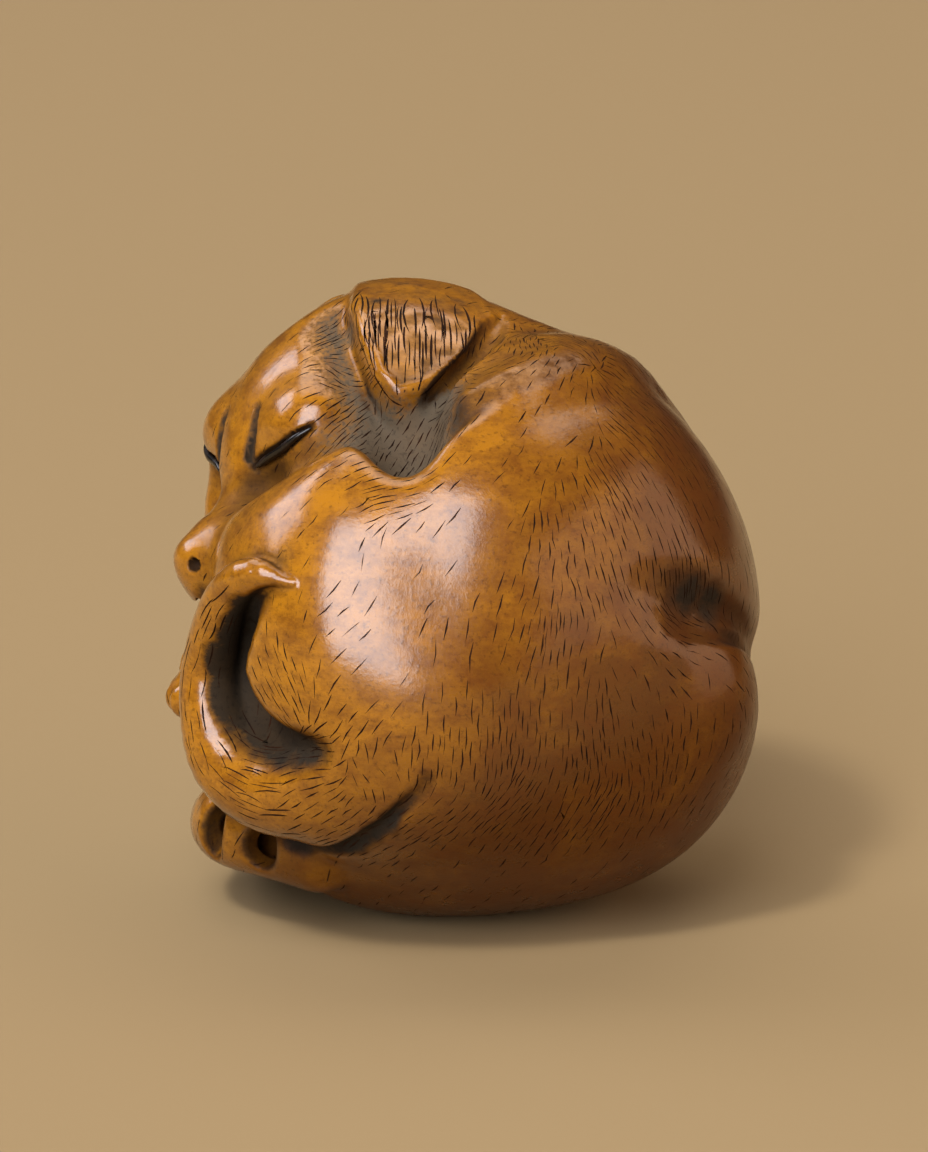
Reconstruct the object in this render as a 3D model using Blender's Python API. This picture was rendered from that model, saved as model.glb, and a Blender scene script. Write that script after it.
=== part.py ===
"""A netsuke: a puppy asleep, curled into a ball, with slips of horn let into its eyes.

The carving rests on its rump. Its left haunch and its tail face -Y, and its head lies
over its hind legs with the nose towards -X. The shape is worked out in millimetres as
a signed distance: negative inside the wood, positive outside, zero on the carved skin.
Rounded masses are blended together and hollows are carved out, in the order in which
a carver roughs out such a block, and the zero skin of the result becomes the mesh.
"""

import math

import bmesh
import bpy
import numpy as np
import openvdb
from mathutils import Matrix, Vector

MM = 0.001

# Driving dimensions, in millimetres and degrees.
BALL_CENTRE = (0.1, 0.0, 17.5)
BALL_RADII = (17.65, 17.0, 17.8)
HEAD_CENTRE = (-3.5, 4.4, 24.7)
HEAD_YAW, HEAD_PITCH, HEAD_ROLL = 33.0, 10.0, 15.0
SKULL_RADII = (12.1, 9.8, 12.1)
HAUNCH_LEAN = 15.0
TOE_SPREAD = (-1.75, -0.6, 0.6, 1.75)
CORD_HOLE_RADIUS = 1.0
INLAY_LENGTH, INLAY_WIDTH, INLAY_DEPTH = 3.8, 0.7, 1.0
GAP = 0.3

# The skin is sampled on cells of this size, in a box around the ball, then thinned out.
CELL = 0.45
BOX_LOW, BOX_HIGH = (-20.0, -19.5, -1.5), (20.0, 20.0, 39.5)
CARVING_TRIANGLES = 8000


# ---------------------------------------------------------------- distances and blends

def vector(values):
    return np.array(values, np.float32)


def unit(values):
    return np.array(values) / np.linalg.norm(values)


def ellipsoid(p, centre, radii, axes=None):
    """Distance to an ellipsoid; the rows of axes are its own three directions."""
    q = p - vector(centre)
    if axes is not None:
        q = q @ vector(axes).T
    scaled = np.linalg.norm(q / vector(radii), axis=1)
    slope = np.linalg.norm(q / vector(radii) ** 2, axis=1)
    return scaled * (scaled - 1.0) / np.maximum(slope, 1e-9)


def smooth_route(points, steps=4):
    """Catmull-Rom curve through rows of x, y, z, radius."""
    rows = np.array(points, float)
    ends = np.vstack([2 * rows[0] - rows[1], rows, 2 * rows[-1] - rows[-2]])
    curve = []
    for a, b, c, d in zip(ends, ends[1:], ends[2:], ends[3:]):
        for t in np.arange(steps) / steps:
            bend = (2 * a - 5 * b + 4 * c - d) * t ** 2 + (3 * b - a - 3 * c + d) * t ** 3
            curve.append(b + 0.5 * ((c - a) * t + bend))
    return np.array(curve + [rows[-1]])


def tube(p, points, reach=4.0):
    """Distance to a round limb along rows of x, y, z, radius; rough beyond its reach."""
    curve = smooth_route(points)
    low = vector((curve[:, :3] - curve[:, 3:]).min(axis=0))
    high = vector((curve[:, :3] + curve[:, 3:]).max(axis=0))
    outside = np.maximum(np.maximum(low - p, p - high), 0.0)
    distance = np.linalg.norm(outside, axis=1) + 0.5
    near = distance < reach
    q = p[near]
    best = np.full(len(q), reach * 10.0, np.float32)
    for a, b in zip(curve, curve[1:]):
        span = vector(b[:3] - a[:3])
        offset = q - vector(a[:3])
        t = np.clip(offset @ span / float(span @ span), 0.0, 1.0)
        radius = a[3] + (b[3] - a[3]) * t
        best = np.minimum(best, np.linalg.norm(offset - t[:, None] * span, axis=1) - radius)
    distance[near] = best
    return distance


def polygon(x, y, corners):
    """Signed distance to a flat outline."""
    nearest = np.full(x.shape, 1e9, np.float32)
    sign = np.ones(x.shape, np.float32)
    for (x0, y0), (x1, y1) in zip(corners, corners[-1:] + corners[:-1]):
        ex, ey = x1 - x0, y1 - y0
        wx, wy = x - x0, y - y0
        t = np.clip((wx * ex + wy * ey) / (ex * ex + ey * ey), 0.0, 1.0)
        nearest = np.minimum(nearest, (wx - ex * t) ** 2 + (wy - ey * t) ** 2)
        tests = np.array([y >= y0, y < y1, ex * wy > ey * wx])
        sign = np.where(tests.all(axis=0) | ~tests.any(axis=0), -sign, sign)
    return sign * np.sqrt(nearest)


def blend(a, b, soft):
    """Union whose inner corner is filled over the width soft."""
    overlap = np.maximum(soft - np.abs(a - b), 0.0) / soft
    return np.minimum(a, b) - overlap ** 2 * soft * 0.25


def carve(a, b, soft):
    """Cut b out of a, with the cut's edge rounded over the width soft."""
    return -blend(-a, b, soft)


def crossed(a, b, soft):
    """What a and b share, with the edge rounded over the width soft."""
    return -blend(-a, -b, soft)


# ---------------------------------------------------------------- the head's own space

def head_axes(yaw, pitch, roll):
    """Rows: towards the nose, towards the head's left side, towards its crown."""
    yaw, pitch, roll = (math.radians(angle) for angle in (yaw, pitch, roll))
    heading = vector((-math.cos(yaw), -math.sin(yaw), 0.0))
    nose = heading * math.cos(pitch) - vector((0.0, 0.0, math.sin(pitch)))
    level = vector((math.sin(yaw), -math.cos(yaw), 0.0))
    left = level * math.cos(roll) + np.cross(nose, level) * math.sin(roll)
    return vector((nose, left, np.cross(nose, left)))


HEAD = head_axes(HEAD_YAW, HEAD_PITCH, HEAD_ROLL)
LEAN = vector(Matrix.Rotation(math.radians(HAUNCH_LEAN - 90.0), 3, "X"))


def in_head(p):
    return (p - vector(HEAD_CENTRE)) @ HEAD.T


def mirrored(q):
    """Head space folded onto the left side, so that one shape makes both sides."""
    side = q.copy()
    side[:, 1] = np.abs(side[:, 1])
    return side


def far_side(q, lower=20.0):
    """Head space seen from the right ear, which hangs lower than the left one."""
    c, s = math.cos(math.radians(lower)), math.sin(math.radians(lower))
    return np.stack([q[:, 0], -c * q[:, 1] - s * q[:, 2], c * q[:, 2] - s * q[:, 1]], axis=1)


# ---------------------------------------------------------------- head

def skull(q):
    return ellipsoid(q, (0, 0, 0), SKULL_RADII)


def face(q):
    """Brows, cheeks and muzzle on the skull, with the closed eyes and the mouth cut in."""
    side = mirrored(q)
    d = skull(q)
    d = blend(d, ellipsoid(side, (6.8, 4.2, 6.1), (2.9, 2.7, 2.3)), 1.6)
    d = blend(d, ellipsoid(side, (5.5, 5.2, 0.0), (5.2, 4.2, 5.0)), 2.0)
    d = carve(d, ellipsoid(side, (11.4, 3.6, 3.2), (1.6, 1.6, 1.3)), 1.6)
    d = blend(d, ellipsoid(q, (12.1, 0, -0.8), (3.9, 3.4, 3.3)), 1.4)
    d = blend(d, ellipsoid(q, (11.0, 0, -4.3), (3.5, 2.7, 2.2)), 0.6)
    d = blend(d, ellipsoid(q, (14.9, 0, 0.1), (1.2, 1.6, 1.3)), 0.8)
    furrow = [(10.5, 1.9, 5.0, 0.25), (9.9, 2.1, 6.3, 0.25), (9.1, 2.0, 7.8, 0.05)]
    d = carve(d, tube(side, furrow), 0.4)
    d = carve(d, tube(side, EYE_SLIT), 0.4)
    mouth = [(15.4, 0, -2.3, 0.2), (14.3, 2.1, -2.6, 0.25), (12.5, 3.3, -2.9, 0.25), (10.8, 4.1, -2.9, 0.1)]
    d = carve(d, tube(side, mouth), 0.3)
    d = carve(d, ellipsoid(side, (15.8, 1.2, 0.0), (0.6, 0.35, 0.4)), 0.2)
    behind_ear = [(2.9, 3.4, 11.6, 0.5), (4.2, 6.6, 9.9, 0.9), (4.2, 9.0, 6.9, 1.3), (2.6, 10.7, 2.6, 1.9),
                  (0, 11, -2, 2.3)]
    return carve(d, tube(side, behind_ear), 3.0)


EYE_SLIT = [(10.55, 2.3, 4.35, 0.2), (10.15, 3.2, 4.7, 0.28), (9.75, 4.7, 5.15, 0.26),
            (9.2, 5.75, 5.65, 0.2), (8.4, 6.5, 5.95, 0.08)]


def ear(q):
    """A folded flap that hangs over the side of the skull, three-cornered, its face dished."""
    root = (0, 6.5, 8.6)
    across, down = vector((0.841, -0.355, 0.408)), vector((0.541, 0.553, -0.634))
    a, b = (q - vector(root)) @ across, (q - vector(root)) @ down
    corners = [(3.2, -2.5), (2.8, 0.8), (2.0, 3.8), (1.2, 4.7), (0.2, 4.3), (-3.0, 0.8), (-4.4, -1.6),
               (-3.2, -6.5), (2.6, -6.5)]
    outline = polygon(a, b, corners) - 0.9
    lift = 0.19 * np.clip(b + 4.5, 0, 9) - 0.15
    above = skull(q) - lift
    flap = crossed(outline, np.abs(above + 0.45) - 1.1, 0.55)
    floor_height = 0.38 + 0.3 * np.clip((2.5 - b) / 5.0, 0, 1)
    dish = crossed(outline + 0.75, floor_height - above, 0.5)
    return carve(flap, dish, 0.5)


# ---------------------------------------------------------------- body and limbs

def body(p):
    """The ball with the bed for the head, the neck and the roll of skin behind it."""
    d = ellipsoid(p, BALL_CENTRE, BALL_RADII)
    d = blend(d, ellipsoid(p, (-4.5, -1, 7.9), (8.3, 8.5, 7.4)), 2.0)
    d = blend(d, ellipsoid(p, (7.0, -0.5, 10.9), (9.7, 12, 8.9)), 3.0)
    d = carve(d, ellipsoid(p, (-21, 3, 16), (9.5, 15, 13)), 4.0)
    d = carve(d, ellipsoid(p, (-3.2, 2.4, 27.6), (11.7, 11.7, 11.7)), 2.5)
    d = blend(d, tube(p, [(-2, 1.5, 27, 8.4), (2.6, 2.5, 26.8, 7.8), (6, 4, 24.8, 7.4)]), 0.8)
    roll = [(-2.6, -7, 29.6, 1.2), (-1.3, -5.6, 31, 1.5), (1.3, -3.3, 32.4, 1.6), (4.6, 0.2, 33.1, 1.6),
            (7.2, 3.8, 31.7, 1.4), (8.6, 7.2, 29.0, 1.4)]
    scruff = [(-2.2, -7.8, 29.2, 1.3), (0.4, -7.0, 30.8, 1.9), (3.2, -4.9, 31.9, 2.3),
              (6.4, -1.2, 32.2, 2.4), (8.9, 3.4, 31.0, 2.0), (11.0, 4.2, 28.4, 1.4)]
    d = blend(d, tube(p, scruff), 2.0)
    d = blend(d, tube(p, roll), 1.6)
    nape = [(1.0, 5.5, 32.8, 2.6), (4.0, 5.5, 31.5, 2.5), (7.5, 5.5, 29.6, 2.5)]
    d = blend(d, tube(p, nape), 2.5)
    d = blend(d, ellipsoid(p, (-6.5, -7.4, 20.4), (7.6, 9.3, 8.9), LEAN), 2.5)
    d = carve(d, ellipsoid(p, (-16.1, -3.4, 35.6), (8, 8, 8)), 5.5)
    d = blend(d, ellipsoid(p, (-2.6, -8.7, 15.2), (8.8, 8.4, 8.4)), 4.0)
    return carve(d, ellipsoid(p, (-3.5, -6.55, 31.8), (2.3, 4.1, 8), LEAN), 1.6)


def right_thigh(p, d):
    """The far hind leg seen on the right, with the fold that parts it from the flank."""
    fold = [(11.4, -13.0, 22.8, 0.05), (13.3, -10.6, 21.2, 0.4), (15.2, -7.6, 19.4, 0.4),
            (17.0, -4, 16.8, 0.3), (18.3, 0, 14.6, 0.1), (17.9, 5, 13.8, 0.1), (14.0, 11.5, 14.8, 0.1),
            (8.3, 15.8, 17, 0.05)]
    d = carve(d, tube(p, fold), 3.5)
    buttock = ellipsoid(p, (8.6, 0, 12.2), (8.8, 12, 8.5))
    knee = ellipsoid(p, (12, -6.6, 15.2), (4.7, 4.9, 5.2))
    d = blend(d, blend(buttock, knee, 4.0), 0.8)
    crease = [(12.2, -12.0, 20.4, 0.1), (13.8, -10.4, 19.9, 0.45), (15.5, -7.8, 18.7, 0.4),
              (16.8, -4.6, 17, 0.35), (17.6, -1, 14.7, 0.25), (17.4, 4, 13.9, 0.15)]
    return carve(d, tube(p, crease), 0.6)


def paw(p, centre, forward, size=1.0):
    """A rounded pad with four toes along its front."""
    ahead = unit(forward)
    side = unit(np.cross((0, 0, 1), ahead))
    q = (p - vector(centre)) @ vector((ahead, side, np.cross(ahead, side))).T / size
    d = ellipsoid(q, (-0.4, 0, 0), (2.6, 2.3, 2.0))
    for shift in TOE_SPREAD:
        d = blend(d, ellipsoid(q, (1.7 - 0.35 * abs(shift), shift, -0.35), (1.25, 0.72, 1.15)), 0.35)
    return d * size


def hind_feet(p, d):
    left = [(-8.5, -7.5, 5.8, 2.9), (-11.0, -6.0, 5.9, 2.7), (-13.3, -3.6, 5.9, 2.8), (-14, -0.4, 5, 2.4),
            (-13.3, 3, 3.9, 2.1)]
    left_paw = paw(p, (-13, 4.2, 3.4), (0.25, 0.97, -0.1), 0.95)
    d = blend(d, blend(tube(p, left), left_paw, 0.8), 0.5)
    right = [(5, 12.6, 6.4, 4.6), (-2, 13, 5, 3.4), (-8, 11, 4, 2.5)]
    d = blend(d, tube(p, right), 0.8)
    return blend(d, paw(p, (-10.4, 9.6, 3.3), (-0.8, -0.6, -0.05)), 0.8)


def fore_legs(p, d):
    """The right fore leg comes forward under the far cheek; both paws lie below the chin."""
    arm = [(6, 9.5, 25, 5.4), (2, 13.6, 20.5, 4.6), (-5.5, 13, 17, 3.4), (-11.5, 8.2, 14.6, 2.5)]
    d = blend(d, tube(p, arm), 1.2)
    d = blend(d, paw(p, (-14.6, 5.2, 13.6), (-0.93, -0.3, -0.15)), 0.5)
    return blend(d, paw(p, (-15.2, -0.6, 13.6), (-0.98, 0.1, -0.15)), 0.5)


def tail(p, d):
    """The tail leaves the rump at -Y, sweeps round to -X and curls up over the haunch."""
    root = [(1.5, -10.5, 15.5, 2.6), (-4.2, -13, 12.7, 2.9), (-7.8, -12.2, 10.7, 2.85)]
    d = blend(d, tube(p, root), 3.0)
    groove = [(-12.7, -12.8, 22.2, 0.4), (-13.0, -10.2, 18.3, 1.6), (-12.6, -10.6, 15.8, 1.8),
              (-11.6, -12.0, 14.4, 1.4), (-10.2, -13.9, 13.9, 0.7), (-8.6, -16.0, 14.0, 0.05)]
    d = carve(d, tube(p, groove), 2.2)
    sweep = [(-4.2, -12.4, 12.3, 2.4), (-7.8, -12.8, 10.9, 2.8), (-11.0, -10.8, 10.2, 2.75),
             (-13.7, -9.1, 11.4, 2.4), (-14.9, -8.5, 14.3, 1.85), (-14.9, -8.3, 17.5, 1.6),
             (-13.8, -11.2, 22, 1.3), (-12.1, -13.5, 24, 0.95), (-9.9, -14.9, 23.8, 0.08)]
    d = blend(d, tube(p, sweep), 0.5)
    under = [(-2.0, -18.0, 12.6, 0.02), (-3.9, -16.5, 10.6, 0.12), (-5.2, -15.5, 9.1, 0.25),
             (-7.6, -12.8, 7.3, 0.4), (-10, -10, 6.8, 0.2)]
    return carve(d, tube(p, under), 1.0)


def carving(p):
    """Distance to the whole carved piece, still without its cord holes and eye sockets."""
    q = in_head(p)
    d = blend(body(p), face(q), 1.2)
    d = blend(d, np.minimum(ear(q), ear(far_side(q))), 0.4)
    d = blend(d, ellipsoid(p, (-1.9, -2.9, 28.6), (3.1, 2.6, 3.6)), 2.2)
    crevice = [(2.4, 3.6, 35.4, 0.1), (1.8, 1.4, 35.2, 0.7), (0.8, -1.7, 34.1, 0.8), (-0.6, -4.1, 33.1, 0.8),
               (-1.9, -5.2, 31.9, 0.6)]
    d = carve(d, tube(p, crevice), 0.4)
    neck_crease = [(-3.0, -9.6, 28.4, 0.4), (-1.8, -9.2, 30.4, 0.3), (-0.2, -9.0, 32.4, 0.1),
                   (2.0, -8.4, 34.4, 0.02)]
    d = carve(d, tube(p, neck_crease), 1.6)
    d = right_thigh(p, d)
    d = hind_feet(p, d)
    d = fore_legs(p, d)
    return tail(p, d)


# ---------------------------------------------------------------- meshes and objects

def collection(name):
    made = bpy.data.collections.new(name)
    bpy.context.scene.collection.children.link(made)
    return made


def material(name, colour, roughness):
    made = bpy.data.materials.new(name)
    made.use_nodes = True
    shader = made.node_tree.nodes["Principled BSDF"]
    shader.inputs["Base Color"].default_value = (*colour, 1.0)
    shader.inputs["Roughness"].default_value = roughness
    shader.inputs["Metallic"].default_value = 0.0
    return made


def add_object(name, mesh, home, finish=None):
    mesh.shade_smooth()
    made = bpy.data.objects.new(name, mesh)
    home.objects.link(made)
    if finish:
        mesh.materials.append(finish)
    return made


def skin_mesh(name, field):
    """The zero skin of a field, sampled on a regular grid of cells."""
    ticks = [np.arange(low, high, CELL) for low, high in zip(BOX_LOW, BOX_HIGH)]
    grid_points = np.stack(np.meshgrid(*ticks, indexing="ij"), axis=-1).astype(np.float32)
    values = np.concatenate([field(slab.reshape(-1, 3)) for slab in grid_points])
    grid = openvdb.FloatGrid(float(values.max()))
    grid.copyFromArray(values.reshape(grid_points.shape[:3]).astype(np.float32))
    points, triangles, quads = grid.convertToPolygons(isovalue=0.0, adaptivity=0.0)
    mesh = bpy.data.meshes.new(name)
    mesh.from_pydata((points * CELL + vector(BOX_LOW)) * MM, [], triangles.tolist() + quads.tolist())
    work = bmesh.new()
    work.from_mesh(mesh)
    bmesh.ops.triangulate(work, faces=work.faces)
    bmesh.ops.recalc_face_normals(work, faces=work.faces)
    work.to_mesh(mesh)
    work.free()
    return mesh


def ball_mesh(name, segments=16, rings=8):
    mesh = bpy.data.meshes.new(name)
    work = bmesh.new()
    bmesh.ops.create_uvsphere(work, u_segments=segments, v_segments=rings, radius=1.0)
    work.to_mesh(mesh)
    work.free()
    return mesh


def stretched_ball(name, centre, radii, axes, home, finish=None):
    """A UV sphere stretched along its own axes, given as rows, and placed in the world."""
    mesh = ball_mesh(name)
    mesh.transform(Matrix.Diagonal((*radii, 1.0)))
    mesh.transform(Matrix.Scale(MM, 4))
    made = add_object(name, mesh, home, finish)
    turn = Matrix([[float(value) for value in row] for row in axes]).transposed()
    made.matrix_world = Matrix.Translation(Vector(centre) * MM) @ turn.to_4x4()
    return made


def bar_mesh(name, points, radius):
    """A round bar of one radius along points, as a closed mesh."""
    curve = bpy.data.curves.new(name, "CURVE")
    curve.dimensions = "3D"
    curve.bevel_depth = radius * MM
    curve.bevel_resolution = 2
    curve.use_fill_caps = True
    spline = curve.splines.new("POLY")
    spline.points.add(len(points) - 1)
    for spot, place in zip(spline.points, points):
        spot.co = (*(Vector(place) * MM), 1.0)
    holder = bpy.data.objects.new(name, curve)
    bpy.context.scene.collection.objects.link(holder)
    depsgraph = bpy.context.evaluated_depsgraph_get()
    mesh = bpy.data.meshes.new_from_object(holder.evaluated_get(depsgraph))
    bpy.data.objects.remove(holder)
    bpy.data.curves.remove(curve)
    work = bmesh.new()
    work.from_mesh(mesh)
    bmesh.ops.remove_doubles(work, verts=work.verts, dist=0.00001)
    bmesh.ops.recalc_face_normals(work, faces=work.faces)
    work.to_mesh(mesh)
    work.free()
    return mesh


def cut(target, cutter):
    cutter.hide_render = True
    cutter.display_type = "WIRE"
    step = target.modifiers.new(cutter.name, "BOOLEAN")
    step.operation = "DIFFERENCE"
    step.solver = "EXACT"
    step.object = cutter


# ---------------------------------------------------------------- sub-parts

def outward_axes(outward, upward):
    """Rows: out of the wood, across, and up along the wood."""
    out = unit(outward)
    across = unit(np.cross(upward, out))
    return (out, across, np.cross(out, across))


def eye_frame(side):
    """Middle of an eye slit and its axes: along the slit, across it, out of the head."""
    flip = vector((1, side, 1))
    route = smooth_route(EYE_SLIT)[:, :3] * flip
    middle = route[len(route) // 2]
    along = unit(route[-4] - route[4])
    out = unit(middle / np.array(SKULL_RADII) ** 2)
    across = unit(np.cross(out, along))
    axes = (along, across, np.cross(along, across))
    return vector(HEAD_CENTRE) + middle @ HEAD, np.array(axes) @ HEAD


def add_underside(carved, cutters):
    """The small flat on the rump that the carving stands on."""
    bpy.ops.mesh.primitive_cube_add(size=20 * MM, location=(0, 0, -10 * MM))
    cutter = bpy.context.object
    cutter.name = "underside_cut"
    for home in list(cutter.users_collection):
        home.objects.unlink(cutter)
    cutters.objects.link(cutter)
    cut(carved, cutter)


def add_cord_holes(carved, cutters):
    """Two openings either side of a strip of the left foot, joined behind it."""
    slots = {
        "front_slot": ((-12.1, -8.4, 5.8), (-0.45, -0.89, 0.1), (2.4, 1.1, 1.35)),
        "side_slot": ((-15.0, -5.7, 6.0), (-0.65, -0.75, 0.1), (2.2, 0.85, 1.75)),
    }
    bends = []
    for name, (centre, outward, radii) in slots.items():
        axes = outward_axes(outward, (0.3, 0, 1))
        cut(carved, stretched_ball(name, centre, radii, axes, cutters))
        bends.append(np.array(centre) - 2.3 * axes[0])
    start, end = (Vector([float(value) for value in bend]) for bend in bends)
    reach = (end - start) * 0.15
    joint = bar_mesh("slot_joint", [start - reach, start.lerp(end, 0.5), end + reach], CORD_HOLE_RADIUS)
    cut(carved, add_object("slot_joint", joint, cutters))


def add_eye(name, side, carved, parts, cutters, finish):
    """A slip of horn lying in the eye slit, and the pocket cut for it."""
    centre, axes = eye_frame(side)
    radii = np.array((INLAY_LENGTH, INLAY_WIDTH, INLAY_DEPTH)) / 2
    sunk = [float(value) for value in centre - axes[2] * INLAY_DEPTH * 0.5]
    stretched_ball(name, sunk, radii, axes, parts, finish)
    cut(carved, stretched_ball(name + "_pocket", sunk, radii + GAP, axes, cutters))


def build():
    for thing in list(bpy.data.objects):
        bpy.data.objects.remove(thing)
    parts = collection("netsuke_sleeping_puppy")
    cutters = collection("cutters")
    boxwood = material("boxwood", (0.55, 0.24, 0.03), 0.3)
    horn = material("black_horn", (0.01, 0.008, 0.007), 0.15)

    carved = add_object("puppy_carving", skin_mesh("puppy_carving", carving), parts, boxwood)
    thin = carved.modifiers.new("thin_out", "DECIMATE")
    thin.ratio = CARVING_TRIANGLES / len(carved.data.polygons)
    add_underside(carved, cutters)
    add_cord_holes(carved, cutters)
    add_eye("left_eye_inlay", 1, carved, parts, cutters, horn)
    add_eye("right_eye_inlay", -1, carved, parts, cutters, horn)


build()
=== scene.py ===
# %% [markdown]
# # A sleeping puppy, carved in boxwood
#
# A netsuke is a toggle the size of a walnut: it hung on a cord from a sash, so it has no
# thin parts, and years of handling have rounded and polished it. This one is a puppy
# curled into a ball. It was roughed out as a lump, its hair was cut stroke by stroke with
# a fine gouge, the hollows were stained dark, and two slips of black horn are its eyes.
#
# The lesson follows the carver's order: the bench, the light, the lump, the limbs, the
# hair, the stain, the polish and the eyes. Everything is worked out in millimetres and
# scaled to metres at the very end.

import math

import bmesh
import bpy
import numpy as np
import openvdb
from mathutils import Matrix, Vector


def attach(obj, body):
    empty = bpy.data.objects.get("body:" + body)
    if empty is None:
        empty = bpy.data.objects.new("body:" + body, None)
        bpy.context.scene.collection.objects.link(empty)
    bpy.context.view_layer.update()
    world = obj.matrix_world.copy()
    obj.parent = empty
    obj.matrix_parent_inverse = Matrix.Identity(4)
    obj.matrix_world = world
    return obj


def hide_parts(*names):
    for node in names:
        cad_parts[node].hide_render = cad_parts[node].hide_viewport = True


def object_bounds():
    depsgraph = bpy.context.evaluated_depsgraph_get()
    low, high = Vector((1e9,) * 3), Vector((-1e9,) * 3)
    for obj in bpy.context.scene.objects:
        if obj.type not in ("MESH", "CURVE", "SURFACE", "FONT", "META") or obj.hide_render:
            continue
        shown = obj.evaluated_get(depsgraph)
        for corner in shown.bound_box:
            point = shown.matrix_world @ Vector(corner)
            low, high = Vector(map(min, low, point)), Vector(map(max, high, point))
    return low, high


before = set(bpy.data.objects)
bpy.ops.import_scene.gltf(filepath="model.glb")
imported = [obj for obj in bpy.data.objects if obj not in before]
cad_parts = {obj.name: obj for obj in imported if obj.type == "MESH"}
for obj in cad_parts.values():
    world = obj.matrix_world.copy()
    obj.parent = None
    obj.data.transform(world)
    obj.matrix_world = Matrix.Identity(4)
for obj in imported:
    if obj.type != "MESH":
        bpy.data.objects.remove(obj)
cad_box = [list(corner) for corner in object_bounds()]
MM = 0.001
size_mm = [(high - low) / MM for low, high in zip(*cad_box)]
print("the carving is", [round(side, 1) for side in size_mm], "mm")


# %% [markdown]
# ## The view
#
# A long lens keeps a small thing from looking like a big one: close to, perspective
# swells whatever is nearest. The camera is 400 mm away and 15 degrees above level, aimed
# a little above the middle of the ball. The focal length follows from how much of the
# scene the frame should take in at that distance.

# %% The camera
VIEW_RISE = math.radians(15.0)
VIEW_DISTANCE = 0.400
VIEW_HEIGHT = 0.06912
SENSOR = 36.0
AIM = Vector((0, 0.0009, 0.0200))


def placed(name, data):
    """A new object that holds the data, in the scene."""
    made = bpy.data.objects.new(name, data)
    bpy.context.scene.collection.objects.link(made)
    return made


lens = bpy.data.cameras.new("camera")
lens.sensor_width = SENSOR
lens.lens = SENSOR * VIEW_DISTANCE / VIEW_HEIGHT
camera = placed("camera", lens)
camera.location = AIM + VIEW_DISTANCE * Vector((0.0, -math.cos(VIEW_RISE), math.sin(VIEW_RISE)))
camera.rotation_euler = (math.pi / 2 - VIEW_RISE, 0.0, 0.0)
bpy.context.scene.camera = camera
print("lens", round(lens.lens, 1), "mm")


# %% [markdown]
# ## The bench and the lamps
#
# Polished wood shows the shape of its lamps, so these are big soft squares. The window
# lamp stands in front on the left and puts a wide patch of light on the haunch. A warm
# card on the right gives the flank its sheen, a back lamp lights the crown, and one low
# on the left lights the brow. A small key lamp, which the polish doesn't reflect, gives
# the shadow its edge, and a faint even sky fills in the rest. The floor is one wide pale
# sheet, so that no edge of it shows from any side.

# %% Colours, and one function that adds a node
def linear(code):
    """A colour written as a hex code, as the linear values that Blender works in."""
    parts = [int(code[i:i + 2], 16) / 255 for i in (1, 3, 5)]
    return (*(v / 12.92 if v <= 0.04045 else ((v + 0.055) / 1.055) ** 2.4 for v in parts), 1.0)


def add(tree, kind, inputs=None, **settings):
    """Add a node; each input gets a value, or a link from a socket or a node's first output."""
    made = tree.nodes.new(kind)
    for name, value in settings.items():
        setattr(made, name, value)
    for name, value in (inputs or {}).items():
        if isinstance(value, bpy.types.Node):
            value = value.outputs[0]
        if isinstance(value, bpy.types.NodeSocket):
            tree.links.new(value, made.inputs[name])
        else:
            made.inputs[name].default_value = value
    return made


def finish_named(name):
    """An empty material, ready for its nodes."""
    made = bpy.data.materials.new(name)
    made.use_nodes = True
    made.node_tree.nodes.clear()
    return made


# %% The floor
FLOOR_SIDE = 6.0
floor_mesh = bpy.data.meshes.new("floor")
half = FLOOR_SIDE / 2
corners = [(-half, -half, 0), (half, -half, 0), (half, half, 0), (-half, half, 0)]
floor_mesh.from_pydata(corners, [], [(0, 1, 2, 3)])
floor = placed("floor", floor_mesh)
# Matt card gives the eye nothing but the shadow.
card = finish_named("matt_card")
board = add(card.node_tree, "ShaderNodeBsdfPrincipled",
            {"Base Color": linear("#927D5B"), "Roughness": 0.95, "Specular IOR Level": 0.1})
add(card.node_tree, "ShaderNodeOutputMaterial", {"Surface": board})
floor_mesh.materials.append(card)
print("floor", FLOOR_SIDE, "m wide")


# %% The lamps
LAMP_DISTANCE = 2.4
SKY_STRENGTH = 0.03


def lamp(name, turn, height, wide, tall, watts, colour):
    """A soft lamp that looks at the carving, from so many degrees round it and up."""
    turn, height = math.radians(turn), math.radians(height)
    level = math.cos(height)
    way = Vector((math.sin(turn) * level, -math.cos(turn) * level, math.sin(height)))
    made = bpy.data.lights.new(name, "AREA")
    made.shape = "RECTANGLE"
    made.size = wide
    made.size_y = tall
    made.energy = watts
    made.color = linear(colour)[:3]
    holder = placed(name, made)
    holder.location = AIM + way * LAMP_DISTANCE
    holder.rotation_euler = way.to_track_quat("Z", "Y").to_euler()
    return holder


lamp("window_lamp", -20, 32, 1.5, 2.8, 92.0, "#F4F6FF")
lamp("side_card", 72, 22, 3.8, 1.9, 31.0, "#FFD2AE")
lamp("back_lamp", 174, 64, 2.6, 1.7, 27.0, "#FFF6EE")
lamp("brow_lamp", -113, 36, 1.5, 1.0, 19.0, "#F6F4FF")
key = lamp("key_lamp", -30, 50, 0.3, 0.3, 30.0, "#FFFAF2")
key.visible_glossy = False
sky = bpy.data.worlds.new("even_sky")
sky.use_nodes = True
backdrop = sky.node_tree.nodes["Background"].inputs
backdrop["Color"].default_value = linear("#F3EEE8")
backdrop["Strength"].default_value = SKY_STRENGTH
bpy.context.scene.world = sky
bpy.context.scene.view_settings.view_transform = "Standard"
print("five lamps and an even sky")


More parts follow.
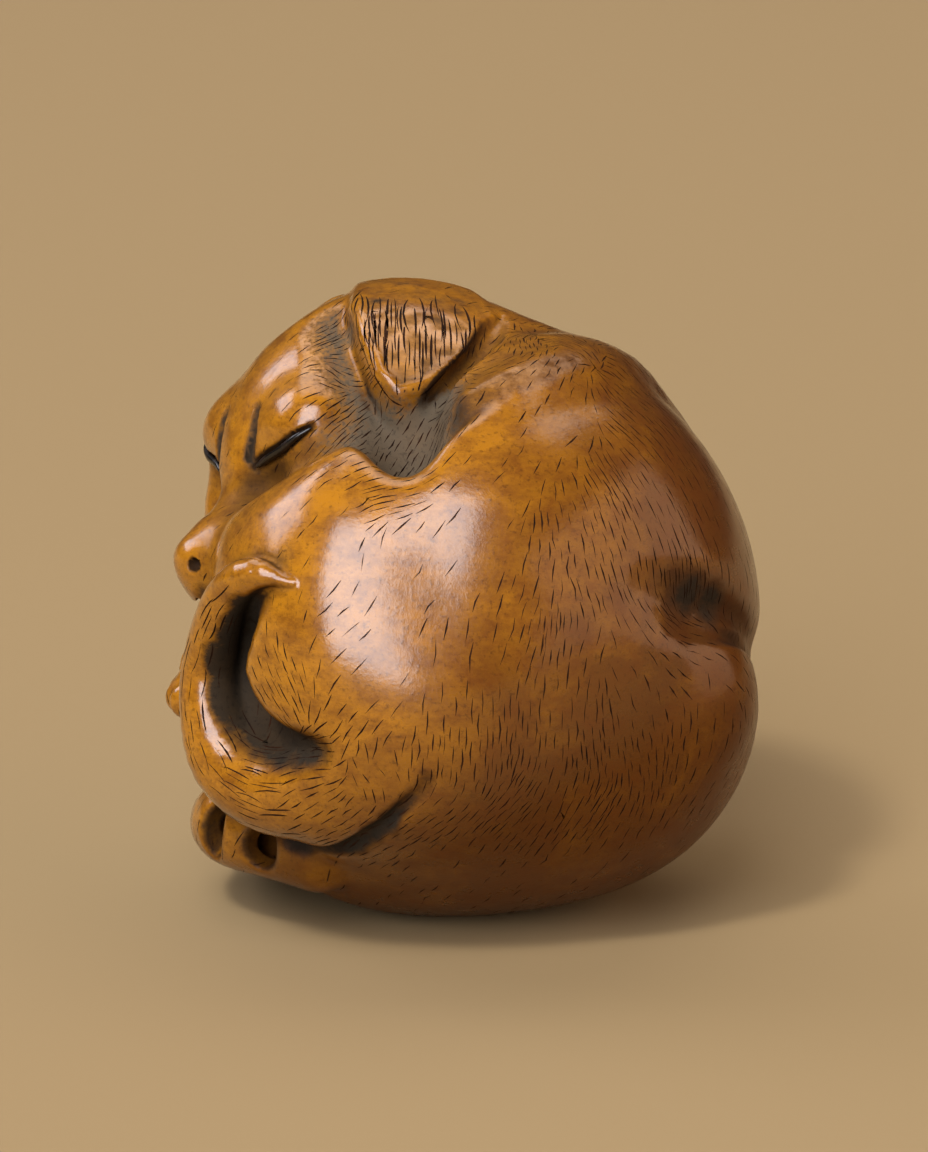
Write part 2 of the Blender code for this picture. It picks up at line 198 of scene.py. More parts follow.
# %% [markdown]
# ## Thinking in rounded masses
#
# A carver sees a puppy as a few rounded lumps that run into one another. A signed
# distance says the same thing in numbers: for any point it gives how far the skin is,
# negative inside the wood and positive outside. Two lumps are joined by taking the
# smaller distance, a hollow is cut by turning its sign round, and a soft width rounds the
# line where they meet, as a knife and sandpaper would. Pushing vertices about by hand, or
# sculpting, could make the same puppy, but it could not be read, repeated or corrected
# one lump at a time.

# %% Distances to the simple shapes
def vector(values):
    return np.array(values, np.float32)


def unit(values):
    return np.array(values) / np.linalg.norm(values)


def ellipsoid(p, centre, radii, axes=None):
    """Distance to an ellipsoid; the rows of axes are its own three directions."""
    q = p - vector(centre)
    if axes is not None:
        q = q @ vector(axes).T
    scaled = np.linalg.norm(q / vector(radii), axis=1)
    slope = np.linalg.norm(q / vector(radii) ** 2, axis=1)
    return scaled * (scaled - 1.0) / np.maximum(slope, 1e-9)


def smooth_route(points, steps=4):
    """Catmull-Rom curve through rows of x, y, z, radius."""
    rows = np.array(points, float)
    ends = np.vstack([2 * rows[0] - rows[1], rows, 2 * rows[-1] - rows[-2]])
    curve = []
    for a, b, c, d in zip(ends, ends[1:], ends[2:], ends[3:]):
        for t in np.arange(steps) / steps:
            bend = (2 * a - 5 * b + 4 * c - d) * t ** 2 + (3 * b - a - 3 * c + d) * t ** 3
            curve.append(b + 0.5 * ((c - a) * t + bend))
    return np.array(curve + [rows[-1]])


def tube(p, points, reach=4.0):
    """Distance to a round limb along rows of x, y, z, radius; rough beyond its reach."""
    curve = smooth_route(points)
    low = vector((curve[:, :3] - curve[:, 3:]).min(axis=0))
    high = vector((curve[:, :3] + curve[:, 3:]).max(axis=0))
    outside = np.maximum(np.maximum(low - p, p - high), 0.0)
    distance = np.linalg.norm(outside, axis=1) + 0.5
    near = distance < reach
    q = p[near]
    best = np.full(len(q), np.inf, np.float32)
    for a, b in zip(curve, curve[1:]):
        span = vector(b[:3] - a[:3])
        offset = q - vector(a[:3])
        t = np.clip(offset @ span / float(span @ span), 0.0, 1.0)
        radius = a[3] + (b[3] - a[3]) * t
        best = np.minimum(best, np.linalg.norm(offset - t[:, None] * span, axis=1) - radius)
    distance[near] = best
    return distance


def polygon(x, y, corners):
    """Signed distance to a flat outline."""
    nearest = np.full(x.shape, 1e9, np.float32)
    sign = np.ones(x.shape, np.float32)
    for (x0, y0), (x1, y1) in zip(corners, corners[-1:] + corners[:-1]):
        ex, ey = x1 - x0, y1 - y0
        wx, wy = x - x0, y - y0
        t = np.clip((wx * ex + wy * ey) / (ex * ex + ey * ey), 0.0, 1.0)
        nearest = np.minimum(nearest, (wx - ex * t) ** 2 + (wy - ey * t) ** 2)
        tests = np.array([y >= y0, y < y1, ex * wy > ey * wx])
        sign = np.where(tests.all(axis=0) | ~tests.any(axis=0), -sign, sign)
    return sign * np.sqrt(nearest)


# %% Joining and cutting, with rounded edges
def blend(a, b, soft):
    """Union whose inner corner is filled over the width soft."""
    overlap = np.maximum(soft - np.abs(a - b), 0.0) / soft
    return np.minimum(a, b) - overlap ** 2 * soft * 0.25


def carve(a, b, soft):
    """Cut b out of a, with the cut's edge rounded over the width soft."""
    return -blend(-a, b, soft)


def crossed(a, b, soft):
    """What a and b share, with the edge rounded over the width soft."""
    return -blend(-a, -b, soft)


# %% [markdown]
# ## The head
#
# The head has its own space, turned and tipped as it lies on the haunch: the first number
# runs to the nose, the second to the puppy's left and the third to its crown. Folding
# the second number onto one side lets one brow, one cheek and one eye slit make both. The
# closed eyes are slits under a full brow, with a furrow at the inner corner of each.

# %% The head's own directions
HEAD_CENTRE = (-3.5, 4.4, 24.7)
YAW, PITCH, ROLL, FAR_EAR_DROP = (math.radians(angle) for angle in (33, 10, 15, 20))
SKULL_RADII = (12.1, 9.8, 12.1)

heading = vector((-math.cos(YAW), -math.sin(YAW), 0.0))
nose = heading * math.cos(PITCH) - vector((0.0, 0.0, math.sin(PITCH)))
level = vector((math.sin(YAW), -math.cos(YAW), 0.0))
left = level * math.cos(ROLL) + np.cross(nose, level) * math.sin(ROLL)
HEAD = vector((nose, left, np.cross(nose, left)))
print("the nose points", [round(float(part), 2) for part in nose])


# %% Into the head's space and out of it
def in_head(p):
    return (p - vector(HEAD_CENTRE)) @ HEAD.T


def mirrored(q):
    """Head space folded onto the left side, so that one shape makes both sides."""
    side = q.copy()
    side[:, 1] = np.abs(side[:, 1])
    return side


def far_side(q):
    """Head space seen from the right ear, which hangs lower than the left one."""
    c, s = math.cos(FAR_EAR_DROP), math.sin(FAR_EAR_DROP)
    return np.stack([q[:, 0], -c * q[:, 1] - s * q[:, 2], c * q[:, 2] - s * q[:, 1]], axis=1)


# %% Skull and face
EYE_SLIT = [(10.55, 2.3, 4.35, 0.2), (10.15, 3.2, 4.7, 0.28), (9.75, 4.7, 5.15, 0.26),
            (9.2, 5.75, 5.65, 0.2), (8.4, 6.5, 5.95, 0.08)]
FURROW = [(10.5, 1.9, 5, 0.25), (9.9, 2.1, 6.3, 0.25), (9.1, 2, 7.8, 0.05)]
MOUTH = [(15.4, 0, -2.3, 0.2), (14.3, 2.1, -2.6, 0.25), (12.5, 3.3, -2.9, 0.25),
         (10.8, 4.1, -2.9, 0.1)]
BEHIND_EAR = [(2.9, 3.4, 11.6, 0.5), (4.2, 6.6, 9.9, 0.9), (4.2, 9, 6.9, 1.3),
              (2.6, 10.7, 2.6, 1.9), (0, 11, -2, 2.3)]


def skull(q):
    return ellipsoid(q, (0, 0, 0), SKULL_RADII)


def face(q):
    """Brows, cheeks and muzzle on the skull, with the closed eyes and the mouth cut in."""
    side = mirrored(q)
    d = skull(q)
    d = blend(d, ellipsoid(side, (6.8, 4.2, 6.1), (2.9, 2.7, 2.3)), 1.6)
    d = blend(d, ellipsoid(side, (5.5, 5.2, 0), (5.2, 4.2, 5)), 2.0)
    d = carve(d, ellipsoid(side, (11.4, 3.6, 3.2), (1.6, 1.6, 1.3)), 1.6)
    d = blend(d, ellipsoid(q, (12.1, 0, -0.8), (3.9, 3.4, 3.3)), 1.4)
    d = blend(d, ellipsoid(q, (11, 0, -4.3), (3.5, 2.7, 2.2)), 0.6)
    d = blend(d, ellipsoid(q, (14.9, 0, 0.1), (1.2, 1.6, 1.3)), 0.8)
    d = carve(d, tube(side, FURROW), 0.4)
    d = carve(d, tube(side, EYE_SLIT), 0.4)
    d = carve(d, tube(side, MOUTH), 0.3)
    d = carve(d, ellipsoid(side, (15.8, 1.2, 0), (0.6, 0.35, 0.4)), 0.2)
    return carve(d, tube(side, BEHIND_EAR), 3.0)


# %% [markdown]
# ## The ears
#
# Each ear is a three-cornered flap that folds over at the top and hangs down the cheek.
# It is a flat outline wrapped over the skull: the shell between two heights above the
# skull, kept where it lies inside the outline, and dished so that a rim stands round it.

# %% The ear flap
EAR_ROOT = (0, 6.5, 8.6)
EAR_ACROSS, EAR_DOWN = vector((0.841, -0.355, 0.408)), vector((0.541, 0.553, -0.634))
EAR_CORNERS = [(3.2, -2.5), (2.8, 0.8), (2, 3.8), (1.2, 4.7), (0.2, 4.3), (-3, 0.8),
               (-4.4, -1.6), (-3.2, -6.5), (2.6, -6.5)]


def ear_lie(q):
    """Where a point is on the flap: across it, down it, and above the skull's slope there."""
    a, b = (q - vector(EAR_ROOT)) @ EAR_ACROSS, (q - vector(EAR_ROOT)) @ EAR_DOWN
    lift = 0.19 * np.clip(b + 4.5, 0, 9) - 0.15
    return a, b, skull(q) - lift


def ear(q):
    """A folded flap that hangs over the side of the skull, three-cornered, its face dished."""
    a, b, above = ear_lie(q)
    outline = polygon(a, b, EAR_CORNERS) - 0.9
    flap = crossed(outline, np.abs(above + 0.45) - 1.1, 0.55)
    floor_height = 0.38 + 0.3 * np.clip((2.5 - b) / 5.0, 0, 1)
    dish = crossed(outline + 0.75, floor_height - above, 0.5)
    return carve(flap, dish, 0.5)


# %% [markdown]
# ## The body
#
# The body is one ball with a bed hollowed in its top, where the head lies. The neck and a
# roll of skin come up behind the head, the left haunch swells out in front, and the
# notch beside it is where the haunch and the neck part.

# %% The ball, the bed and the haunch
HAUNCH_LEAN = 15.0
LEAN = vector(Matrix.Rotation(math.radians(HAUNCH_LEAN - 90.0), 3, "X"))


def body(p):
    """The ball with the bed for the head, the neck and the roll of skin behind it."""
    d = ellipsoid(p, (0.1, 0, 17.5), (17.65, 17, 17.8))
    d = blend(d, ellipsoid(p, (-4.5, -1, 7.9), (8.3, 8.5, 7.4)), 2.0)
    d = blend(d, ellipsoid(p, (7, -0.5, 10.9), (9.7, 12, 8.9)), 3.0)
    d = carve(d, ellipsoid(p, (-21, 3, 16), (9.5, 15, 13)), 4.0)
    d = carve(d, ellipsoid(p, (-3.2, 2.4, 27.6), (11.7, 11.7, 11.7)), 2.5)
    d = blend(d, tube(p, [(-2, 1.5, 27, 8.4), (2.6, 2.5, 26.8, 7.8), (6, 4, 24.8, 7.4)]), 0.8)
    scruff = [(-2.2, -7.8, 29.2, 1.3), (0.4, -7, 30.8, 1.9), (3.2, -4.9, 31.9, 2.3),
              (6.4, -1.2, 32.2, 2.4), (8.9, 3.4, 31, 2), (11, 4.2, 28.4, 1.4)]
    d = blend(d, tube(p, scruff), 2.0)
    roll = [(-2.6, -7, 29.6, 1.2), (-1.3, -5.6, 31, 1.5), (1.3, -3.3, 32.4, 1.6),
            (4.6, 0.2, 33.1, 1.6), (7.2, 3.8, 31.7, 1.4), (8.6, 7.2, 29, 1.4)]
    d = blend(d, tube(p, roll), 1.6)
    nape = [(1, 5.5, 32.8, 2.6), (4, 5.5, 31.5, 2.5), (7.5, 5.5, 29.6, 2.5)]
    d = blend(d, tube(p, nape), 2.5)
    d = blend(d, ellipsoid(p, (-6.5, -7.4, 20.4), (7.6, 9.3, 8.9), LEAN), 2.5)
    d = carve(d, ellipsoid(p, (-16.1, -3.4, 35.6), (8, 8, 8)), 5.5)
    d = blend(d, ellipsoid(p, (-2.6, -8.7, 15.2), (8.8, 8.4, 8.4)), 4.0)
    return carve(d, ellipsoid(p, (-3.5, -6.55, 31.8), (2.3, 4.1, 8), LEAN), 1.6)


# %% The far thigh
def right_thigh(p, d):
    """The far hind leg seen on the right, with the fold that parts it from the flank."""
    fold = [(11.4, -13, 22.8, 0.05), (13.3, -10.6, 21.2, 0.4), (15.2, -7.6, 19.4, 0.4),
            (17, -4, 16.8, 0.3), (18.3, 0, 14.6, 0.1), (17.9, 5, 13.8, 0.1),
            (14, 11.5, 14.8, 0.1), (8.3, 15.8, 17, 0.05)]
    d = carve(d, tube(p, fold), 3.5)
    buttock = ellipsoid(p, (8.6, 0, 12.2), (8.8, 12, 8.5))
    knee = ellipsoid(p, (12, -6.6, 15.2), (4.7, 4.9, 5.2))
    d = blend(d, blend(buttock, knee, 4.0), 0.8)
    crease = [(12.2, -12, 20.4, 0.1), (13.8, -10.4, 19.9, 0.45), (15.5, -7.8, 18.7, 0.4),
              (16.8, -4.6, 17, 0.35), (17.6, -1, 14.7, 0.25), (17.4, 4, 13.9, 0.15)]
    return carve(d, tube(p, crease), 0.6)


# %% [markdown]
# ## Paws, legs and tail
#
# A paw is a rounded pad with four toes blended along its front, so one function makes all
# four of them at their own places and sizes. The legs are tapered tubes along smooth
# routes. The tail leaves the rump, sweeps forward over the foot and curls up to a point,
# and a deep groove is cut inside its curl.

# %% Hind feet
TOE_SPREAD = (-1.75, -0.6, 0.6, 1.75)


def own_axes(forward, upward=(0, 0, 1)):
    """A thing's own directions, in rows: ahead, to the side, and up."""
    ahead = unit(forward)
    side = unit(np.cross(upward, ahead))
    return vector((ahead, side, np.cross(ahead, side)))


def paw(p, centre, forward, size=1.0):
    """A rounded pad with four toes along its front."""
    q = (p - vector(centre)) @ own_axes(forward).T / size
    d = ellipsoid(q, (-0.4, 0, 0), (2.6, 2.3, 2))
    for shift in TOE_SPREAD:
        toe = (1.7 - 0.35 * abs(shift), shift, -0.35)
        d = blend(d, ellipsoid(q, toe, (1.25, 0.72, 1.15)), 0.35)
    return d * size


def hind_feet(p, d):
    left = [(-8.5, -7.5, 5.8, 2.9), (-11, -6, 5.9, 2.7), (-13.3, -3.6, 5.9, 2.8),
            (-14, -0.4, 5, 2.4), (-13.3, 3, 3.9, 2.1)]
    left_paw = paw(p, (-13, 4.2, 3.4), (0.25, 0.97, -0.1), 0.95)
    d = blend(d, blend(tube(p, left), left_paw, 0.8), 0.5)
    right = [(5, 12.6, 6.4, 4.6), (-2, 13, 5, 3.4), (-8, 11, 4, 2.5)]
    d = blend(d, tube(p, right), 0.8)
    return blend(d, paw(p, (-10.4, 9.6, 3.3), (-0.8, -0.6, -0.05)), 0.8)


# %% Fore legs
def fore_legs(p, d):
    """The right fore leg comes forward under the far cheek; both paws lie below the chin."""
    arm = [(6, 9.5, 25, 5.4), (2, 13.6, 20.5, 4.6), (-5.5, 13, 17, 3.4), (-11.5, 8.2, 14.6, 2.5)]
    d = blend(d, tube(p, arm), 1.2)
    d = blend(d, paw(p, (-14.6, 5.2, 13.6), (-0.93, -0.3, -0.15)), 0.5)
    return blend(d, paw(p, (-15.2, -0.6, 13.6), (-0.98, 0.1, -0.15)), 0.5)


# %% The tail and the groove in its curl
TAIL_GROOVE = [(-12.7, -12.8, 22.2, 0.4), (-13, -10.2, 18.3, 1.6), (-12.6, -10.6, 15.8, 1.8),
               (-11.6, -12, 14.4, 1.4), (-10.2, -13.9, 13.9, 0.7), (-8.6, -16, 14, 0.05)]
UNDER_TAIL = [(-2, -18, 12.6, 0.02), (-3.9, -16.5, 10.6, 0.12), (-5.2, -15.5, 9.1, 0.25),
              (-7.6, -12.8, 7.3, 0.4), (-10, -10, 6.8, 0.2)]
TAIL_SWEEP = [(-4.2, -12.4, 12.3, 2.4), (-7.8, -12.8, 10.9, 2.8), (-11, -10.8, 10.2, 2.75),
              (-13.7, -9.1, 11.4, 2.4), (-14.9, -8.5, 14.3, 1.85), (-14.9, -8.3, 17.5, 1.6),
              (-13.8, -11.2, 22, 1.3), (-12.1, -13.5, 24, 0.95), (-9.9, -14.9, 23.8, 0.08)]


def tail(p, d):
    """The tail leaves the rump at -Y, sweeps round to -X and curls up over the haunch."""
    root = [(1.5, -10.5, 15.5, 2.6), (-4.2, -13, 12.7, 2.9), (-7.8, -12.2, 10.7, 2.85)]
    d = blend(d, tube(p, root), 3.0)
    d = carve(d, tube(p, TAIL_GROOVE), 2.2)
    d = blend(d, tube(p, TAIL_SWEEP), 0.5)
    return carve(d, tube(p, UNDER_TAIL), 1.0)


# %% [markdown]
# ## The whole carving
#
# The lumps go together in the carver's order, and then the working cuts are made. The
# cord ran in at one opening in the left hind foot and out at the other, behind a strip of
# wood. A small flat on the rump lets the carving stand. Each eye has a shallow socket.

# %% Working cuts
SLOTS = [((-12.1, -8.4, 5.8), (-0.45, -0.89, 0.1), (2.4, 1.1, 1.35)),
         ((-15, -5.7, 6), (-0.65, -0.75, 0.1), (2.2, 0.85, 1.75))]
CORD_HOLE_RADIUS = 1.0
CHANNEL_DEPTH = 2.3


def cord_holes(p, d):
    """The two worn openings, and the channel that joins them inside the foot."""
    ends = []
    for centre, outward, radii in SLOTS:
        axes = own_axes(outward, (0.3, 0, 1))
        d = carve(d, ellipsoid(p, centre, radii, axes), 0.6)
        ends.append(vector(centre) - CHANNEL_DEPTH * axes[0])
    channel = [(*end, CORD_HOLE_RADIUS) for end in ends]
    return carve(d, tube(p, channel), 0.2)


def eye_socket(q, d):
    """A clean slot along the slit, in which the slip of horn sits."""
    side = mirrored(q)
    return carve(d, tube(side, [(x, y, z, r + 0.08) for x, y, z, r in EYE_SLIT]), 0.1)


# %% Everything together
NECK_CREASE = [(-3, -9.6, 28.4, 0.4), (-1.8, -9.2, 30.4, 0.3), (-0.2, -9, 32.4, 0.1),
               (2, -8.4, 34.4, 0.02)]
CREVICE = [(2.4, 3.6, 35.4, 0.1), (1.8, 1.4, 35.2, 0.7), (0.8, -1.7, 34.1, 0.8),
           (-0.6, -4.1, 33.1, 0.8), (-1.9, -5.2, 31.9, 0.6)]


def carving(p):
    """Distance to the finished lump: all that is cut with a gouge, before the hair."""
    q = in_head(p)
    d = blend(body(p), face(q), 1.2)
    d = blend(d, np.minimum(ear(q), ear(far_side(q))), 0.4)
    d = blend(d, ellipsoid(p, (-1.9, -2.9, 28.6), (3.1, 2.6, 3.6)), 2.2)
    d = carve(d, tube(p, CREVICE), 0.4)
    d = carve(d, tube(p, NECK_CREASE), 1.6)
    d = right_thigh(p, d)
    d = hind_feet(p, d)
    d = fore_legs(p, d)
    d = tail(p, d)
    d = cord_holes(p, d)
    d = eye_socket(q, d)
    return crossed(d, -p[:, 2], 0.1)


def along(field, p, step):
    """The direction in which a measure of place grows fastest."""
    shifts = np.eye(3, dtype=np.float32) * step
    g = np.stack([field(p + shift) - field(p - shift) for shift in shifts], axis=1)
    return g / np.maximum(np.linalg.norm(g, axis=1, keepdims=True), 1e-9)


def slope(p):
    """The direction straight out of the wood at each point."""
    return along(carving, p, 0.05)


def settled(p, times, limit):
    """Points put on the skin, in so many steps of no more than the limit."""
    for _ in range(times):
        p = p - slope(p) * np.clip(carving(p), -limit, limit)[:, None]
    return p


# %% [markdown]
# ## From distances to a skin
#
# The distance is first measured on a coarse grid, which costs little. Only near the skin
# is it measured again on the fine one. OpenVDB then lays a mesh through the places where
# the distance is nought, Decimate thins it where the wood is smooth, and each vertex is
# put back exactly on the skin. A voxel remesh of joined shapes would be quicker to set
# up, but it would lose the soft widths.

# %% The fine grid
FINE = 0.22
BLOCK = 4
COARSE = FINE * BLOCK
NEAR = 0.9
BATCHES = 12
LOW, HIGH = vector((-19.8, -19.4, -1.2)), vector((20, 20.2, 39.2))


def between(values, axis):
    """Fill in BLOCK steps between neighbours along one axis."""
    first, last = np.moveaxis(values, axis, 0)[:-1], np.moveaxis(values, axis, 0)[1:]
    steps = [first + (last - first) * (i / BLOCK) for i in range(BLOCK)]
    filled = np.stack(steps, axis=1).reshape(-1, *first.shape[1:])
    return np.moveaxis(filled, 0, axis)


rulings = [np.arange(low, high + COARSE, COARSE, dtype=np.float32) for low, high in zip(LOW, HIGH)]
coarse = np.stack(np.meshgrid(*rulings, indexing="ij"), axis=-1)
distances = carving(coarse.reshape(-1, 3)).reshape(coarse.shape[:3])
for axis in range(3):
    distances = between(distances, axis)
close = np.argwhere(np.abs(distances) < NEAR)
for some in np.array_split(close, BATCHES):
    distances[tuple(some.T)] = carving((some * FINE + LOW).astype(np.float32))
print("grid", distances.shape, "measured again near the skin:", len(close))


# %% The skin, thinned and settled
SKIN_TRIANGLES = 44000


def plain_mesh(thing):
    """What an object looks like with its modifiers, as a mesh of its own."""
    depsgraph = bpy.context.evaluated_depsgraph_get()
    return bpy.data.meshes.new_from_object(thing.evaluated_get(depsgraph))


def positions(mesh):
    spots = np.empty(len(mesh.vertices) * 3, np.float32)
    mesh.vertices.foreach_get("co", spots)
    return spots.reshape(-1, 3)


def worked(mesh, *steps):
    """Take a mesh through some steps of bmesh, and put the result back in it."""
    work = bmesh.new()
    work.from_mesh(mesh)
    for step in steps:
        step(work)
    work.to_mesh(mesh)
    work.free()


def in_triangles(work):
    bmesh.ops.triangulate(work, faces=work.faces)


def facing_out(work):
    bmesh.ops.recalc_face_normals(work, faces=work.faces)


def in_one_skin(work):
    bmesh.ops.remove_doubles(work, verts=work.verts, dist=0.001)


grid = openvdb.FloatGrid(float(distances.max()))
grid.copyFromArray(np.ascontiguousarray(distances, dtype=np.float32))
spots, triangles, quads = grid.convertToPolygons(isovalue=0.0, adaptivity=0.0)
thick = bpy.data.meshes.new("thick_skin")
thick.from_pydata(spots * FINE + LOW, [], triangles.tolist() + quads.tolist())
worked(thick, in_triangles, facing_out)
carved = placed("carved_puppy", thick)
thin = carved.modifiers.new("thin_out", "DECIMATE")
thin.ratio = SKIN_TRIANGLES / len(thick.polygons)
skin = plain_mesh(carved)
carved.modifiers.clear()
skin.vertices.foreach_set("co", settled(positions(skin), 3, 0.1).ravel())
skin.update()
carved.data = skin
print("skin:", len(thick.polygons), "triangles thinned to", len(skin.polygons))


# %% [markdown]
# ## How the hair lies
#
# The carver cut some thousands of short ticks, each a little boat of a cut that tapers at
# both ends. They follow the coat: down the flanks, fanning round the hip, across the roll
# of skin behind the ear. So the coat is described at a few dozen places, each with how
# far its hair leans from straight down, how thickly it grows and how long the ticks are,
# and every point in between takes a share of its neighbours.

# %% The coat, place by place
# Three numbers for the place, the lean in degrees (towards -X seen from -Y), thickness, length.
COAT = [
    # the roll of skin behind the left ear, front to back
    (0, -5, 33, 40, 1.3, 0.8), (1.5, -4, 33.5, 25, 1.5, 0.8), (4, -2, 34, 5, 1.6, 0.8),
    (6, -1, 34, -15, 1.6, 0.8), (7.5, 1, 33.5, -30, 0.8, 0.8),
    # the notch between the haunch and the neck, and the crest of the haunch beside it
    (-6, -3, 34, 60, 1.3, 1), (-5.5, -3.5, 31, 62, 1.5, 1.2), (-4, -4, 29.5, 20, 0.8, 0.8),
    (-4.5, -13, 28.5, 75, 1.3, 1.1), (-6.5, -11.5, 29.5, 50, 0.6, 0.8),
    (-7, -13, 28, 30, 0.2, 0.8), (-11.5, -10.5, 26.5, 20, 0.05, 0.8),
    # the shoulder is nearly bare
    (2.5, -10.5, 31, 35, 0.15, 0.9), (5.5, -9, 31.5, 65, 0.2, 1), (1.5, -13, 29, 45, 0.15, 0.9),
    (1, -15, 26, 40, 0.08, 0.9), (-2, -15.5, 24, 40, 0.02, 0.9), (5.5, -8.5, 32, 40, 0.15, 0.8),
    # the flank, from the back of the neck down to the hip
    (10, -7, 30.5, -18, 1.1, 1.1), (8.5, -10.5, 28.5, -12, 1.3, 1.1),
    (12.5, -6.5, 28, 0, 0.9, 1), (6, -14, 26, 0, 0.8, 0.9), (8, -12, 27, -3, 1.1, 1),
    (12.5, -9, 25.5, -3, 1.6, 1.3), (10.5, -12, 24, -5, 1.1, 1.1), (13.5, -9, 22.5, -5, 1.8, 1.2),
    (5, -15, 24.5, 15, 0.5, 1.1), (3.5, -15.5, 23.5, 22, 0.5, 1), (7, -14.5, 23, -12, 0.9, 1),
    (14.5, -6.5, 25, 0, 0.9, 1.1), (16, -6, 21.5, 0, 1, 1.1),
    # round the hollow above the far thigh
    (10, -12.5, 21.5, -22, 1.5, 1.2), (10.5, -13.5, 20, -35, 1.5, 1.1),
    (9.5, -14.5, 20, -20, 1, 1.1), (13.5, -10.5, 19, -68, 1.4, 1),
    (12.5, -12, 18.5, -52, 1.2, 1), (9.5, -14.5, 18, -28, 0.9, 1.1),
    (12.5, -12, 17, -50, 0.8, 1), (11.5, -13, 16.5, -15, 0.3, 0.9),
    (15.5, -10, 17, -50, 0.4, 0.8), (14.5, -11.5, 16, 20, 0.3, 0.9),
    # the middle of the side
    (5.5, -16, 21, 8, 1.8, 1), (7.5, -15.5, 20, 25, 0.8, 1), (7, -15.5, 18, 8, 1, 1.2),
    (0.5, -17, 20, 8, 0.7, 1.2), (3, -16.5, 20, 22, 1, 1), (-1, -17, 17, 0, 1, 1),
    (1.5, -17, 16.5, 0, 1.3, 1.2), (5.5, -16, 16.5, 0, 0.7, 1.1), (13.5, -12, 14.5, 3, 1.1, 0.9),
    # the haunch: one small tuft, and hair drawn towards the curl of the tail
    (-7.5, -16.5, 21.5, 48, 0.6, 1), (-4, -15.5, 25, 0, 0, 0.9),
    (-5, -16.5, 17.5, 45, 0.2, 1.2), (-1, -17, 19.5, 5, 0.3, 1.2),
    (-11, -14, 16.5, -35, 1.6, 1.2), (-10.5, -15, 19, -30, 1.1, 0.9),
    (-8, -15.5, 13.5, 75, 1.6, 1.4), (-10, -15.5, 21, 0, 0, 0.9),
    (-4.5, -16.5, 20, 45, 0.03, 0.9),
    # over the root of the tail, and the last rows before the bare rump
    (-5, -16.5, 15.5, 38, 0.5, 1.1), (-5, -16.5, 13.5, -42, 0.6, 0.8),
    (-1.5, -17, 14, 3, 2.8, 1.1), (-3.5, -15.5, 10.5, 52, 1.6, 1),
    (-2, -16, 10.5, 45, 1.4, 0.9), (1, -16.5, 14, 0, 1.5, 1), (2.5, -15.5, 11, 35, 1.5, 1),
    (6, -15, 11.5, 10, 1, 1.1), (7.5, -13.5, 10, 25, 1, 1), (7.5, -15, 13.5, -12, 1.2, 1),
    (10.5, -13.5, 13, -15, 0.9, 0.9), (12.5, -12.5, 13, 5, 1.1, 0.9),
    (14.5, -9.5, 10, 20, 0.6, 0.7), (-7.5, -15, 9.5, 50, 1.2, 1),
    # the rump and the underside are bare
    (-0.5, -13.5, 7, 20, 0, 0.8), (6.5, -11, 5.5, 20, 0, 0.8), (11, -9, 6, 10, 0, 0.8),
    (-8, -9, 4, 0, 0.03, 0.8), (0, 0, 0, 0, 0, 0.8), (9, 9, 4.5, 0, 0, 0.8),
    (-2, 12, 3, 0, 0, 0.8),
    # the back, and the far side
    (17.5, 1, 20.5, 0, 0.9, 1.1), (17, 3, 11.5, 10, 0.6, 1), (13, 7, 28, 0, 0.9, 1.1),
    (11, 13, 22, 10, 0.8, 1.1), (9, 14, 12, 20, 0.7, 1.1), (1, 17, 18, 25, 0.7, 1.1),
    (-6, 16, 18, 40, 0.5, 1.1), (3, 16.5, 9, 30, 0.6, 1), (4, 9, 34, 0, 0.7, 1),
    (10, 0, 32.5, -10, 0.9, 1),
    # head: a bare face, ticks over the cheeks and the crown
    (-16, -1, 24, 0, 0, 0.6), (-12, 1, 32, 0, 0, 0.6), (-6, 2, 36.5, 0, 0.1, 0.8),
    (-8.5, 12.5, 27, -40, 0.3, 0.8), (-2, 9, 35.5, 0, 0.3, 0.9), (-15, 3, 15, 0, 0.3, 0.8),
    (-12, 8, 6, 0, 0.2, 0.8),
]


def straight_down(out):
    """Along the skin, towards the floor."""
    down = out * out[:, 2:] - vector((0, 0, 1))
    return down / np.maximum(np.linalg.norm(down, axis=1, keepdims=True), 0.05)


coat_places = vector([row[:3] for row in COAT])
coat_lean, coat_thickness, coat_length = vector([row[3:] for row in COAT]).T
coat_out = slope(coat_places)
coat_down = straight_down(coat_out)
coat_aside = np.cross(coat_down, coat_out)
turned = np.radians(coat_lean)[:, None]
coat_way = coat_down * np.cos(turned) + coat_aside * np.sin(turned)
print(len(COAT), "places on the coat")


# %% The lay of the hair anywhere on the skin
TAIL_ROUTE = smooth_route(TAIL_SWEEP)
CURL_MIDDLE = (-10.5, -14.5, 17.5)
BARE_TIP_HEIGHT = 21.5
TICK_WIDTH = 0.115
EAR_TICK_LENGTH, EAR_TICK_WIDTH = 2.5, 0.145
TAIL_TICK_LENGTH = 1.7


